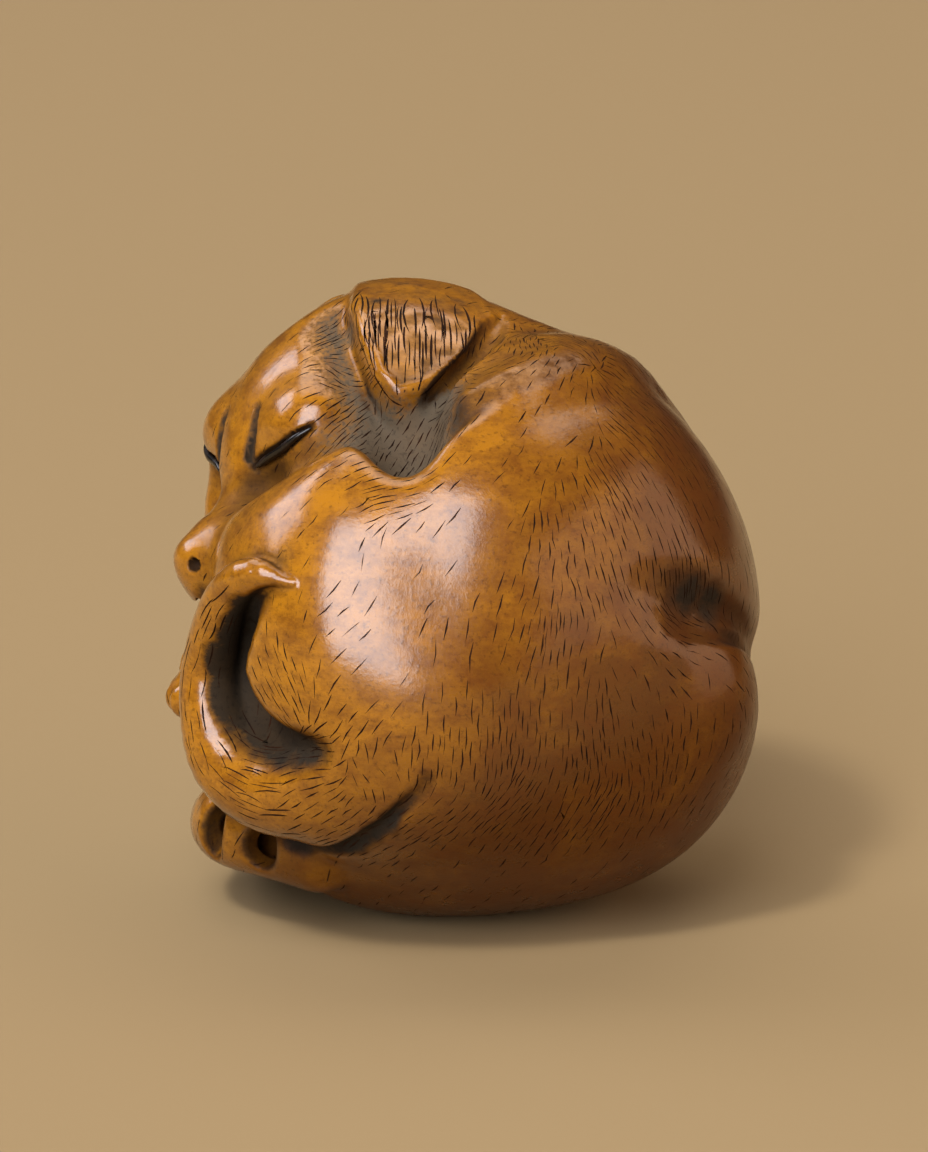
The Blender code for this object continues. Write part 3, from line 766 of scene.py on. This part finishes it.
def hair_at(p, out):
    """Direction, thickness, length and width of the ticks at points on the skin."""
    gap = ((p[:, None, :] - coat_places) ** 2).sum(axis=2)
    share = 1.0 / (gap ** 2 + 0.5)
    share /= share.sum(axis=1, keepdims=True)
    way = share @ coat_way
    thickness, length = share @ coat_thickness, share @ coat_length
    width = np.full(len(p), TICK_WIDTH)

    for view in (in_head, lambda x: far_side(in_head(x))):
        across, down, above = ear_lie(view(p))
        inside = (ear(view(p)) < 0.15) & (above > 0.1) & (down > -3.2)
        way[inside] = along(lambda x: ear_lie(view(x))[1], p[inside], 0.1)
        in_dish = (polygon(across, down, EAR_CORNERS) < 0.3)[inside]
        below_fold = (down[inside] > -1.8) & (across[inside] > -3.6)
        thickness[inside] = np.where(in_dish, np.where(below_fold, 2.0, 0.5), 0.0)
        length[inside] = EAR_TICK_LENGTH
        width[inside] = EAR_TICK_WIDTH
    beside_ear = tube(mirrored(in_head(p)), BEHIND_EAR) < 1.4
    thickness[beside_ear] = np.maximum(thickness[beside_ear], 1.6)

    middle, radius = TAIL_ROUTE[:, :3], TAIL_ROUTE[:, 3]
    steps = np.linalg.norm(p[:, None, :] - middle, axis=2) - radius
    nearest = steps[:, :-1].argmin(axis=1)
    on_tail = (steps.min(axis=1) < 0.25) & (nearest > 5)
    way[on_tail] = (middle[1:] - middle[:-1])[nearest][on_tail]
    towards_curl = vector(CURL_MIDDLE) - middle[nearest]
    in_curl = ((p - middle[nearest]) * towards_curl).sum(axis=1) > 0
    tip = np.where(p[:, 2] > BARE_TIP_HEIGHT, 0.15, 1.0)
    thickness[on_tail] = (np.where(in_curl, 1.7, 0.5) * tip)[on_tail]
    length[on_tail] = TAIL_TICK_LENGTH

    way = way - out * (way * out).sum(axis=1, keepdims=True)
    way /= np.maximum(np.linalg.norm(way, axis=1, keepdims=True), 1e-6)
    return way, thickness, length, width


# %% [markdown]
# ## Where each tick goes
#
# Points are tried all over the skin in a random order, and one is kept if no kept tick is
# too close: further than a tick's length along the hair, or a set spacing across it. That
# gives the even, staggered rows of hand work. A slow unevenness gathers them into tufts.
# The random numbers have a fixed seed, so the coat is the same each time.

# %% Trying places for the ticks
SEED = 7
TRIES = 90000
SPACING = 0.40
CELL = 1.5

chance = np.random.default_rng(SEED)


def tufts(p, size, seed):
    """A slow, smooth unevenness between about -1 and 1."""
    waves = np.random.default_rng(seed)
    directions = waves.normal(size=(10, 3)) / size
    phases = waves.uniform(0, 2 * math.pi, 10)
    return np.cos(p @ directions.T + phases).sum(axis=1) / 4.0


corners = positions(skin)[np.array([face.vertices[:] for face in skin.polygons])]
edge_cross = np.cross(corners[:, 1] - corners[:, 0], corners[:, 2] - corners[:, 0])
areas = np.linalg.norm(edge_cross, axis=1)
picked = chance.choice(len(corners), TRIES, p=areas / areas.sum())
u, v = chance.random((2, TRIES, 1))
flip = u + v > 1
u, v = np.where(flip, 1 - u, u), np.where(flip, 1 - v, v)
first, second, third = np.moveaxis(corners[picked], 1, 0)
tried = (first * (1 - u - v) + second * u + third * v).astype(np.float32)
tried_out = slope(tried)
way, thickness, length, width = hair_at(tried, tried_out)
thickness = thickness * np.clip(0.85 + 0.5 * tufts(tried, 2.5, 3), 0.15, 1.4)
grown = chance.random(TRIES) < np.clip(thickness * 6, 0, 1)
aside = np.cross(tried_out, way)
spacing = SPACING / np.maximum(thickness, 0.05)

kept = []
cells = {}
steps_round = [(x, y, z) for x in (-1, 0, 1) for y in (-1, 0, 1) for z in (-1, 0, 1)]
for i in np.flatnonzero(grown):
    cell = tuple((tried[i] // CELL).astype(int))
    near = [j for step in steps_round for j in cells.get(tuple(map(sum, zip(cell, step))), ())]
    if near:
        offset = tried[near] - tried[i]
        ahead_share = np.abs(offset @ way[i]) / (length[i] * 1.1)
        aside_share = np.abs(offset @ aside[i]) / spacing[i]
        if (ahead_share ** 2 + aside_share ** 2).min() < 1.0:
            continue
    kept.append(i)
    cells.setdefault(cell, []).append(i)
on_ears = int((length[kept] >= EAR_TICK_LENGTH).sum())
print("ticks:", len(kept), "of them on the ears:", on_ears)


# %% Lines that lie on the skin
LIFT = 0.012
LONG = 1.45
SHORT_LINE = {"steps": (-0.5, 0, 0.5), "taper": (0.45, 1, 0.35)}
LONG_LINE = {"steps": (-0.5, -0.3, 0, 0.3, 0.5), "taper": (0.4, 0.9, 1, 0.9, 0.3)}


def laid_lines(which, steps, taper):
    """Bowed lines on the skin: their points, the way out of the wood there, half widths."""
    steps = vector(steps)
    reach = (length[which] * chance.uniform(0.85, 1.5, len(which)))[:, None, None]
    bow = chance.normal(0, 0.04, (len(which), 1, 1)) * reach
    points = tried[which][:, None] + way[which][:, None] * steps[None, :, None] * reach
    points = points + aside[which][:, None] * bow * (1 - 4 * steps ** 2)[None, :, None]
    points = settled(points.reshape(-1, 3).astype(np.float32), 2, 0.4)
    lines_out = slope(points)
    widths = np.tile(taper, len(which)) * np.repeat(width[which], len(steps))
    return points + lines_out * LIFT, lines_out, widths


def keep(mesh, name, kind, values):
    """Let each vertex keep a number or a direction under a name."""
    field = "vector" if kind == "FLOAT_VECTOR" else "value"
    values = np.asarray(values, np.int32 if kind == "INT" else np.float32)
    mesh.attributes.new(name, kind, "POINT").data.foreach_set(field, values.ravel())


kept = np.array(kept)
points, links, outs, tapers, numbers = [], [], [], [], []
long_ones = length[kept] > LONG
for which, line in ((kept[~long_ones], SHORT_LINE), (kept[long_ones], LONG_LINE)):
    start, count = sum(len(part) for part in points), len(line["steps"])
    for part, made in zip((points, outs, tapers), laid_lines(which, **line)):
        part.append(made)
    numbers.append(np.repeat(which, count))
    starts = [start + i * count + j for i in range(len(which)) for j in range(count - 1)]
    links += [(one, one + 1) for one in starts]
tick_lines = bpy.data.meshes.new("tick_lines")
tick_lines.from_pydata(np.concatenate(points), links, [])
keep(tick_lines, "outward", "FLOAT_VECTOR", np.concatenate(outs))
keep(tick_lines, "taper", "FLOAT", np.concatenate(tapers))
keep(tick_lines, "tick", "INT", np.concatenate(numbers))
print("lines:", len(links), "short pieces")


# %% [markdown]
# ## The gouge
#
# A Geometry Nodes tree runs one gouge along every line: a small four-cornered profile,
# turned so that one corner points into the wood, thin at both ends. Its inputs set how
# wide the ticks are, how much they vary and the seed of that variation. The result is
# thousands of little solids, which one Boolean then takes out of the skin, so every tick
# is a real cut with a dark floor. Bump alone would flatten out at the outline.

# %% The finish of a cut tick
# The cuts' finish is stain with painted shade in it.
stroke_stain_and_shade = finish_named("stained_shaded_hair_cut")

# %% The gouge's node tree
gouge = bpy.data.node_groups.new("gouge", "GeometryNodeTree")
gouge.interface.new_socket("Geometry", in_out="INPUT", socket_type="NodeSocketGeometry")
gouge.interface.new_socket("Geometry", in_out="OUTPUT", socket_type="NodeSocketGeometry")
dials = {"Width": ("NodeSocketFloat", 1.0), "Unevenness": ("NodeSocketFloat", 0.3),
         "Sides": ("NodeSocketInt", 4), "Seed": ("NodeSocketInt", 11)}
for name, (kind, value) in dials.items():
    dial = gouge.interface.new_socket(name, in_out="INPUT", socket_type=kind)
    dial.default_value = value
given = add(gouge, "NodeGroupInput").outputs
read = {name: add(gouge, "GeometryNodeInputNamedAttribute", {"Name": name}, data_type=kind)
        for name, kind in (("outward", "FLOAT_VECTOR"), ("taper", "FLOAT"), ("tick", "INT"))}
curves = add(gouge, "GeometryNodeMeshToCurve", {"Mesh": given["Geometry"]})
turned_out = add(gouge, "GeometryNodeSetCurveNormal",
                 {"Curve": curves, "Normal": read["outward"]}, mode="FREE")
least, most = (add(gouge, "ShaderNodeMath", {0: 1.0, 1: given["Unevenness"]}, operation=sign)
               for sign in ("SUBTRACT", "ADD"))
# Sockets that share a name are given by their place: 2 and 3 are a Random Value's numbers.
luck = add(gouge, "FunctionNodeRandomValue",
           {2: least, 3: most, "ID": read["tick"], "Seed": given["Seed"]}, data_type="FLOAT")
size = read["taper"]
for factor in (0.5, given["Width"], luck.outputs[1]):
    size = add(gouge, "ShaderNodeMath", {0: size, 1: factor}, operation="MULTIPLY")
profile = add(gouge, "GeometryNodeCurvePrimitiveCircle",
              {"Resolution": given["Sides"], "Radius": 1.0})
cuts = add(gouge, "GeometryNodeCurveToMesh",
           {"Curve": turned_out, "Profile Curve": profile, "Scale": size, "Fill Caps": True})
real = add(gouge, "GeometryNodeRealizeInstances", {"Geometry": cuts})
stained = add(gouge, "GeometryNodeSetMaterial", {"Geometry": real, "Material": stroke_stain_and_shade})
add(gouge, "NodeGroupOutput", {"Geometry": stained})
print("the gouge has", len(gouge.nodes), "nodes")

# %% Running the gouge
ticks = placed("ticks", tick_lines)
run = ticks.modifiers.new("gouge", "NODES")
run.node_group = gouge
sockets = {item.name: item.identifier for item in gouge.interface.items_tree
           if item.in_out == "INPUT"}
for name, (kind, value) in dials.items():
    run[sockets[name]] = value
tick_solids = plain_mesh(ticks)
ticks.modifiers.clear()
ticks.data = tick_solids
worked(tick_solids, facing_out)
print("tick solids:", len(tick_solids.polygons), "faces")

# %% Cutting the hair
boxwood = finish_named("stained_polished_boxwood")
skin.materials.clear()
skin.materials.append(boxwood)
skin.materials.append(stroke_stain_and_shade)
cut = carved.modifiers.new("cut_hair", "BOOLEAN")
cut.operation = "DIFFERENCE"
cut.solver = "MANIFOLD"
cut.material_mode = "TRANSFER"
cut.object = ticks
haired = plain_mesh(carved)
carved.modifiers.clear()
carved.data = haired
bpy.data.objects.remove(ticks)
worked(haired, in_triangles)
finishes = np.empty(len(haired.polygons), np.int32)
haired.polygons.foreach_get("material_index", finishes)
print("with its hair cut:", len(haired.polygons), "triangles,", int((finishes == 1).sum()),
      "of them in the ticks")


# %% [markdown]
# ## Where stain stays and where hands rub
#
# Stain pools in hollows. They can be read from the distance: a step straight out of an
# open skin moves as far from the wood as its length, and less in a hollow. Each vertex
# keeps that number and three more: how far hands have rubbed the faces of the ears, with
# a painted highlight there too, where the carver brushed stain on and painted shadow,
# and where grey dust has settled that no finger reaches. Painting a map would do it too,
# but it would have to be painted again after every change of shape.

# %% Hollows, and the faces of the ears
OPEN_STEPS = (0.5, 1.2, 2.6)

spots = positions(haired)
out = slope(spots)
open_shares = [np.clip(np.abs(carving(spots + out * step)) / step, 0, 1) for step in OPEN_STEPS]
hollow = 1 - np.mean(open_shares, axis=0)
heads = in_head(spots)
wear_and_highlight, stain_and_shadow = np.zeros((2, len(spots)))
for head_side in (heads, far_side(heads)):
    across, down, above = ear_lie(head_side)
    outline = polygon(across, down, EAR_CORNERS)
    on_face = (np.abs(ear(head_side)) < 0.2) & (outline < 0.15) & (above > 0.0)
    # Pale tan on the ear faces: partly wear from hands, partly a painted highlight.
    wear_and_highlight[on_face] = (0.2 + 0.2 * np.clip((down + 2.0) / 1.5, 0, 1))[on_face]
    stain_and_shadow[on_face] = np.clip(0.3 + 0.25 * tufts(spots, 0.4, 13), 0, 1)[on_face]
print("hollow up to", round(float(hollow.max()), 2))


# %% Brushed stain, painted shadow and dust
# Each row is a place, its reach in mm and how strong it is.
STAIN_AND_SHADOW_SPOTS = [
    # the hollow of the flank
    ((12.8, -9, 21.8), 2.0, 0.9), ((14.5, -8, 20.8), 1.8, 0.8), ((12.2, -10, 22.2), 2.6, 0.5),
    # above the tail's tip, a painted shadow, and the two cord openings
    ((-10.8, -14, 25.3), 1.2, 0.6), ((-12.1, -8.4, 5.8), 1.6, 1.0), ((-15, -5.7, 6), 1.5, 0.9),
    # below the nose
    ((-14.3, -4.5, 20.1), 1.4, 0.7), ((-15.4, -5.2, 20.4), 1.2, 0.6),
]
DUSTY = [
    # the notch behind the head, and the corner before the ear
    ((-4.5, -5, 28.8), 4.5, 1.0), ((-2, -7.5, 29), 2.6, 0.8), ((-7, 0.5, 35), 1.6, 0.7),
]
# Painted shadow below the roll of skin, along this line.
SHADOW_UNDER_ROLL = [(-1.6, -9, 30.6, 0.3), (0.3, -8.3, 32.8, 0.5), (3.4, -6.4, 33.9, 0.6),
              (5.6, -4.4, 34.2, 0.5), (7.6, -2, 34, 0.1)]


def laid_on(places, amount):
    """Add to an amount at places, strong at each and fading over its reach."""
    for place, spread, strength in places:
        away = np.linalg.norm(spots - vector(place), axis=1)
        amount = np.maximum(amount, strength * np.clip(1.4 - 1.2 * away / spread, 0, 1))
    return amount


folded = mirrored(heads)
ragged = 0.25 * tufts(spots, 0.5, 11)
# Stain and painted shadow along a line: its distance, how full it starts, its reach in mm, its edge,
# its strength.
for distance, start, reach, edge, strength in (
        (tube(folded, FURROW), 1.2, 0.5, 0.0, 0.6),
        (tube(spots, TAIL_GROOVE), 1.15, 0.8, ragged, 1.0),
        # stain in the crevice under the tail, with painted shadow
        (tube(spots, UNDER_TAIL), 1.0, 1.0, ragged, 0.85),
        # painted shadow below the roll of skin
        (tube(spots, SHADOW_UNDER_ROLL), 1.0, 1.2, 0.0, 0.36)):
    stain_and_shadow = np.maximum(stain_and_shadow, np.clip(start - distance / reach + edge, 0, 1) * strength)
stain_and_shadow = laid_on(STAIN_AND_SHADOW_SPOTS, stain_and_shadow)
off_ear = np.minimum(np.abs(ear(heads)), np.abs(ear(far_side(heads)))) / 0.5 - 0.2
dusty = np.clip(1.2 - tube(folded, BEHIND_EAR) / 2.4, 0, 1) * np.clip(off_ear, 0, 1)
dusty = laid_on(DUSTY, dusty * np.where(heads[:, 1] < 0, 0.45, 0.95))
measures = {"hollow": hollow, "wear_and_highlight": wear_and_highlight, "stain_and_shadow": stain_and_shadow, "dusty": dusty}
for name, values in measures.items():
    keep(haired, name, "FLOAT", values)
print("stain on", int((stain_and_shadow > 0.1).sum()), "vertices and dust on", int((dusty > 0.1).sum()))


# %% Normals: smooth on the skin, crisper in the ticks
CRISPNESS = 0.25
loops = np.empty(len(haired.loops), np.int32)
haired.loops.foreach_get("vertex_index", loops)
facing = np.empty(len(haired.polygons) * 3, np.float32)
haired.polygons.foreach_get("normal", facing)
flat = np.repeat(facing.reshape(-1, 3), 3, axis=0)
in_tick = np.repeat(finishes == 1, 3)[:, None]
shown = np.where(in_tick, CRISPNESS * flat + (1 - CRISPNESS) * out[loops], out[loops])
haired.shade_smooth()
haired.normals_split_custom_set(shown.tolist())
haired.transform(Matrix.Scale(MM, 4))
haired.update()


# %% [markdown]
# ## Boxwood, stained and polished
#
# Boxwood is pale and has almost no pores. Here it was stained honey brown, rubbed back
# and waxed, so it is orange where it is clean, browner in slow clouds, freckled with dark
# specks, and near black in the hollows. It shines like wax, not glass. All the patterns
# read the object's own coordinates in millimetres, so none of them slides.

# %% The boxwood's patterns
tree = boxwood.node_tree
place = add(tree, "ShaderNodeTexCoord").outputs["Object"]
in_mm = add(tree, "ShaderNodeVectorMath", {0: place, 3: 1 / MM}, operation="SCALE")
PATTERNS = {
    # stretch along x, y and z, size in mm, detail, roughness, distortion
    "clouds": ((1, 1, 1), 6.5, 6.0, 0.62, 1.0),
    "blotches": ((0.8, 0.8, 1.2), 1.5, 8.0, 0.75, 0.0),
    "growth": ((0.3, 0.3, 3), 1.1, 4.0, 0.7, 0.0),
    "freckles": ((1, 1, 1), 0.28, 3.0, 0.6, 0.0),
}
seen = {}
for name, (stretch, size, detail, roughness, distortion) in PATTERNS.items():
    stretched = add(tree, "ShaderNodeVectorMath", {0: in_mm, 1: stretch}, operation="MULTIPLY")
    seen[name] = add(tree, "ShaderNodeTexNoise",
                     {"Vector": stretched, "Scale": 1 / size, "Detail": detail,
                      "Roughness": roughness, "Distortion": distortion})
for name in measures:
    seen[name] = add(tree, "ShaderNodeAttribute", attribute_name=name).outputs["Fac"]
# Painted shade: the honey darkens towards the right, the side turned from the window lamp. It also
# darkens towards the bottom.
for name, way in (("rightness", (0.9, 0.1, -0.6)), ("lowness", (0.45, 0, -1))):
    seen[name] = add(tree, "ShaderNodeVectorMath", {0: in_mm, 1: way},
                     operation="DOT_PRODUCT").outputs["Value"]
# Dust breaks up at its edge in grains, and brushed stain and painted shadow in blotches.
grains = add(tree, "ShaderNodeMath", {0: seen["freckles"], 1: -0.5}, operation="ADD")
seen["grainy dust"] = add(tree, "ShaderNodeMath", {0: seen["dusty"], 1: grains}, operation="ADD")
seen["patchy stain and shadow"] = add(tree, "ShaderNodeMath", {0: seen["stain_and_shadow"], 1: seen["blotches"]},
                           operation="MULTIPLY")
print("the boxwood reads", ", ".join(seen))

# %% How much of each layer shows
SHARES = {
    # what it reads, where that starts to count and counts in full, and the most it gives
    # The shade share paints shade on the side turned from the window lamp.
    "shade": ("rightness", -21.0, -8.0, 1.0), "side wear": ("rightness", -21.0, -8.0, 0.3),
    # The low darkening makes the colour darker towards the bottom.
    "low wear": ("lowness", -14.0, -8.0, 0.9), "low darkening": ("lowness", -14.0, -8.0, 0.3),
    "blotches": ("blotches", 0.42, 0.64, 0.65), "rings": ("growth", 0.5, 0.72, 0.18),
    "freckles": ("freckles", 0.55, 0.72, 0.5), "wear_and_highlight": ("wear_and_highlight", 0.25, 0.6, 0.6),
    "pooled": ("hollow", 0.15, 0.6, 0.95), "dust": ("grainy dust", 0.25, 0.8, 0.9),
    "dirt and shadow": ("patchy stain and shadow", 0.08, 0.4, 0.95),
}
share = {}
for name, (source, start, full, most) in SHARES.items():
    share[name] = add(tree, "ShaderNodeMapRange", {"Value": seen[source], "From Min": start,
                                                   "From Max": full, "To Max": most})
print(len(share), "shares")

# %% The boxwood's colour, laid on in coats
# It gives the eye a warm honey, darker on the right with painted shade, that glows pale on the
# ear faces with wear and a painted highlight, and sinks through brown to black in its hollows,
# with painted shadow along some creases and grey dust where no finger reaches.
clouded = add(tree, "ShaderNodeMath", {0: seen["clouds"], 1: 1.5, 2: -0.75},
              operation="MULTIPLY_ADD")
shade = add(tree, "ShaderNodeMath", {0: share["shade"], 1: clouded}, operation="ADD", use_clamp=True)
mixed = {}
# The honey and a shaded copy of it, mixed by the painted shade on the right side and by slow clouds.
for name, part, one, other in (("honey", shade, "#A06812", "#5A340D"),
                               ("grey", share["freckles"], "#50473A", "#231F19"),
                               ("black", share["freckles"], "#28221A", "#0A0806")):
    mixed[name] = add(tree, "ShaderNodeMix", {0: part, 6: linear(one), 7: linear(other)},
                      data_type="RGBA").outputs[2]
colour = mixed["honey"]
for name, coat in (("blotches", linear("#5A2E09")), ("rings", linear("#4A2606")),
                   # The pale tan is partly wear and partly a painted highlight on the ear faces.
                   ("freckles", linear("#3A1D06")), ("wear_and_highlight", linear("#B98A58")),
                   ("low darkening", linear("#3C1C05")), ("pooled", linear("#1C120B")),
                   # Near-black dirt, which also paints shadow below the roll, above the tail's tip
                   # and under the tail.
                   ("dust", mixed["grey"]), ("dirt and shadow", mixed["black"])):
    colour = add(tree, "ShaderNodeMix", {0: share[name], 6: colour, 7: coat},
                 data_type="RGBA").outputs[2]

# %% The boxwood's polish
# A thin coat of wax gives the eye soft-edged lamps; dust, dirt with its painted shadow, and the low
# side have lost it.
gloss = add(tree, "ShaderNodeMapRange", {"Value": seen["blotches"], "From Min": 0.3,
                                         "From Max": 0.7, "To Min": 0.24, "To Max": 0.36})
matt = share["pooled"]
for name in ("dirt and shadow", "dust"):
    matt = add(tree, "ShaderNodeMath", {0: matt, 1: share[name]}, operation="MAXIMUM")
dull = add(tree, "ShaderNodeMath", {0: matt, 1: 0.5, 2: gloss}, operation="MULTIPLY_ADD")
unwaxed = add(tree, "ShaderNodeMath", {0: matt, 1: 2.5}, operation="MULTIPLY")
for name in ("side wear", "low wear"):
    unwaxed = add(tree, "ShaderNodeMath", {0: unwaxed, 1: share[name]}, operation="MAXIMUM")
wax = add(tree, "ShaderNodeMapRange", {"Value": unwaxed, "To Min": 1.0, "To Max": 0.0})
pores = add(tree, "ShaderNodeBump", {"Height": seen["freckles"], "Strength": 0.3,
                                     "Distance": 0.00003})
wood = add(tree, "ShaderNodeBsdfPrincipled",
           {"Base Color": colour, "Roughness": dull, "IOR": 1.5, "Specular IOR Level": 0.12,
            "Normal": pores, "Coat Weight": wax, "Coat Roughness": 0.17, "Coat IOR": 1.6,
            "Coat Normal": pores})
add(tree, "ShaderNodeOutputMaterial", {"Surface": wood})
print("boxwood:", len(tree.nodes), "nodes")


# %% The finish of the cuts
# A stained cut with painted shade in it gives the eye a near-black brown line that no lamp makes
# shine.
tree = stroke_stain_and_shade.node_tree
place = add(tree, "ShaderNodeTexCoord").outputs["Object"]
in_mm = add(tree, "ShaderNodeVectorMath", {0: place, 3: 1 / MM}, operation="SCALE")
patches = add(tree, "ShaderNodeTexNoise", {"Vector": in_mm, "Scale": 1 / 1.5, "Detail": 3.0})
patchy = add(tree, "ShaderNodeMapRange", {"Value": patches, "From Min": 0.35, "From Max": 0.65})
brown = add(tree, "ShaderNodeMix", {0: patchy, 6: linear("#140903"), 7: linear("#2A1406")},
            data_type="RGBA").outputs[2]
cut_wood = add(tree, "ShaderNodeBsdfPrincipled",
               {"Base Color": brown, "Roughness": 0.7, "IOR": 1.5, "Specular IOR Level": 0.1})
add(tree, "ShaderNodeOutputMaterial", {"Surface": cut_wood})
print("stained cuts:", len(tree.nodes), "nodes")


# %% [markdown]
# ## Horn eyes
#
# The eyes are shut, so all that shows is a thin slip of black horn lying in each slit. A
# tapered bar along the slit's own route makes it, a little proud of the wood, so that it
# catches the lamp.

# %% Horn
# Horn gives the eye a black that is warm in its streaks, with one narrow bright gleam.
horn = finish_named("black_horn")
tree = horn.node_tree
place = add(tree, "ShaderNodeTexCoord").outputs["Object"]
streaks = add(tree, "ShaderNodeTexNoise", {"Vector": place, "Scale": 1.2 / MM, "Detail": 3.0})
streaky = add(tree, "ShaderNodeMapRange", {"Value": streaks, "From Min": 0.5, "From Max": 0.8})
black = add(tree, "ShaderNodeMix", {0: streaky, 6: linear("#0B0908"), 7: linear("#2A1B12")},
            data_type="RGBA").outputs[2]
gleam = add(tree, "ShaderNodeMapRange", {"Value": streaks, "From Min": 0.3, "From Max": 0.7,
                                         "To Min": 0.2, "To Max": 0.32})
polished = add(tree, "ShaderNodeBsdfPrincipled",
               {"Base Color": black, "Roughness": gleam, "IOR": 1.55})
add(tree, "ShaderNodeOutputMaterial", {"Surface": polished})
print("horn:", len(tree.nodes), "nodes")


# %% The slips of horn
TIP_RADIUS, SWELLING = 0.05, 0.22


def horn_slip(name, side):
    """A slip of horn along the eye slit of the left side, 1, or the right side, -1."""
    route = smooth_route([(x, y * side, z, r) for x, y, z, r in EYE_SLIT], steps=6)
    centre = route[:, :3] @ HEAD + vector(HEAD_CENTRE)
    lying = bpy.data.curves.new(name, "CURVE")
    lying.dimensions = "3D"
    lying.bevel_depth = 1.0
    lying.bevel_resolution = 3
    lying.use_fill_caps = True
    line = lying.splines.new("POLY")
    line.points.add(len(centre) - 1)
    for i, (spot, where) in enumerate(zip(line.points, centre)):
        t = i / (len(centre) - 1)
        spot.co = (*(float(value) for value in where), 1.0)
        spot.radius = TIP_RADIUS + SWELLING * math.sin(math.pi * t ** 0.8) ** 0.7
    holder = placed(name, lying)
    mesh = plain_mesh(holder)
    bpy.data.objects.remove(holder)
    bpy.data.curves.remove(lying)
    worked(mesh, in_one_skin, facing_out)
    mesh.transform(Matrix.Scale(MM, 4))
    mesh.materials.clear()
    mesh.materials.append(horn)
    mesh.shade_smooth()
    print(name, len(mesh.polygons), "faces")
    return placed(name, mesh)


slips = {"left_eye_inlay": horn_slip("left_horn_eye", 1),
         "right_eye_inlay": horn_slip("right_horn_eye", -1)}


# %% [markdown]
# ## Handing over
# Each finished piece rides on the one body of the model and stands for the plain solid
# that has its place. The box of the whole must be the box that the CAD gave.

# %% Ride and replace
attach(carved, "root")
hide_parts("puppy_carving")
for node, piece in slips.items():
    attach(piece, "root")
    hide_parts(node)
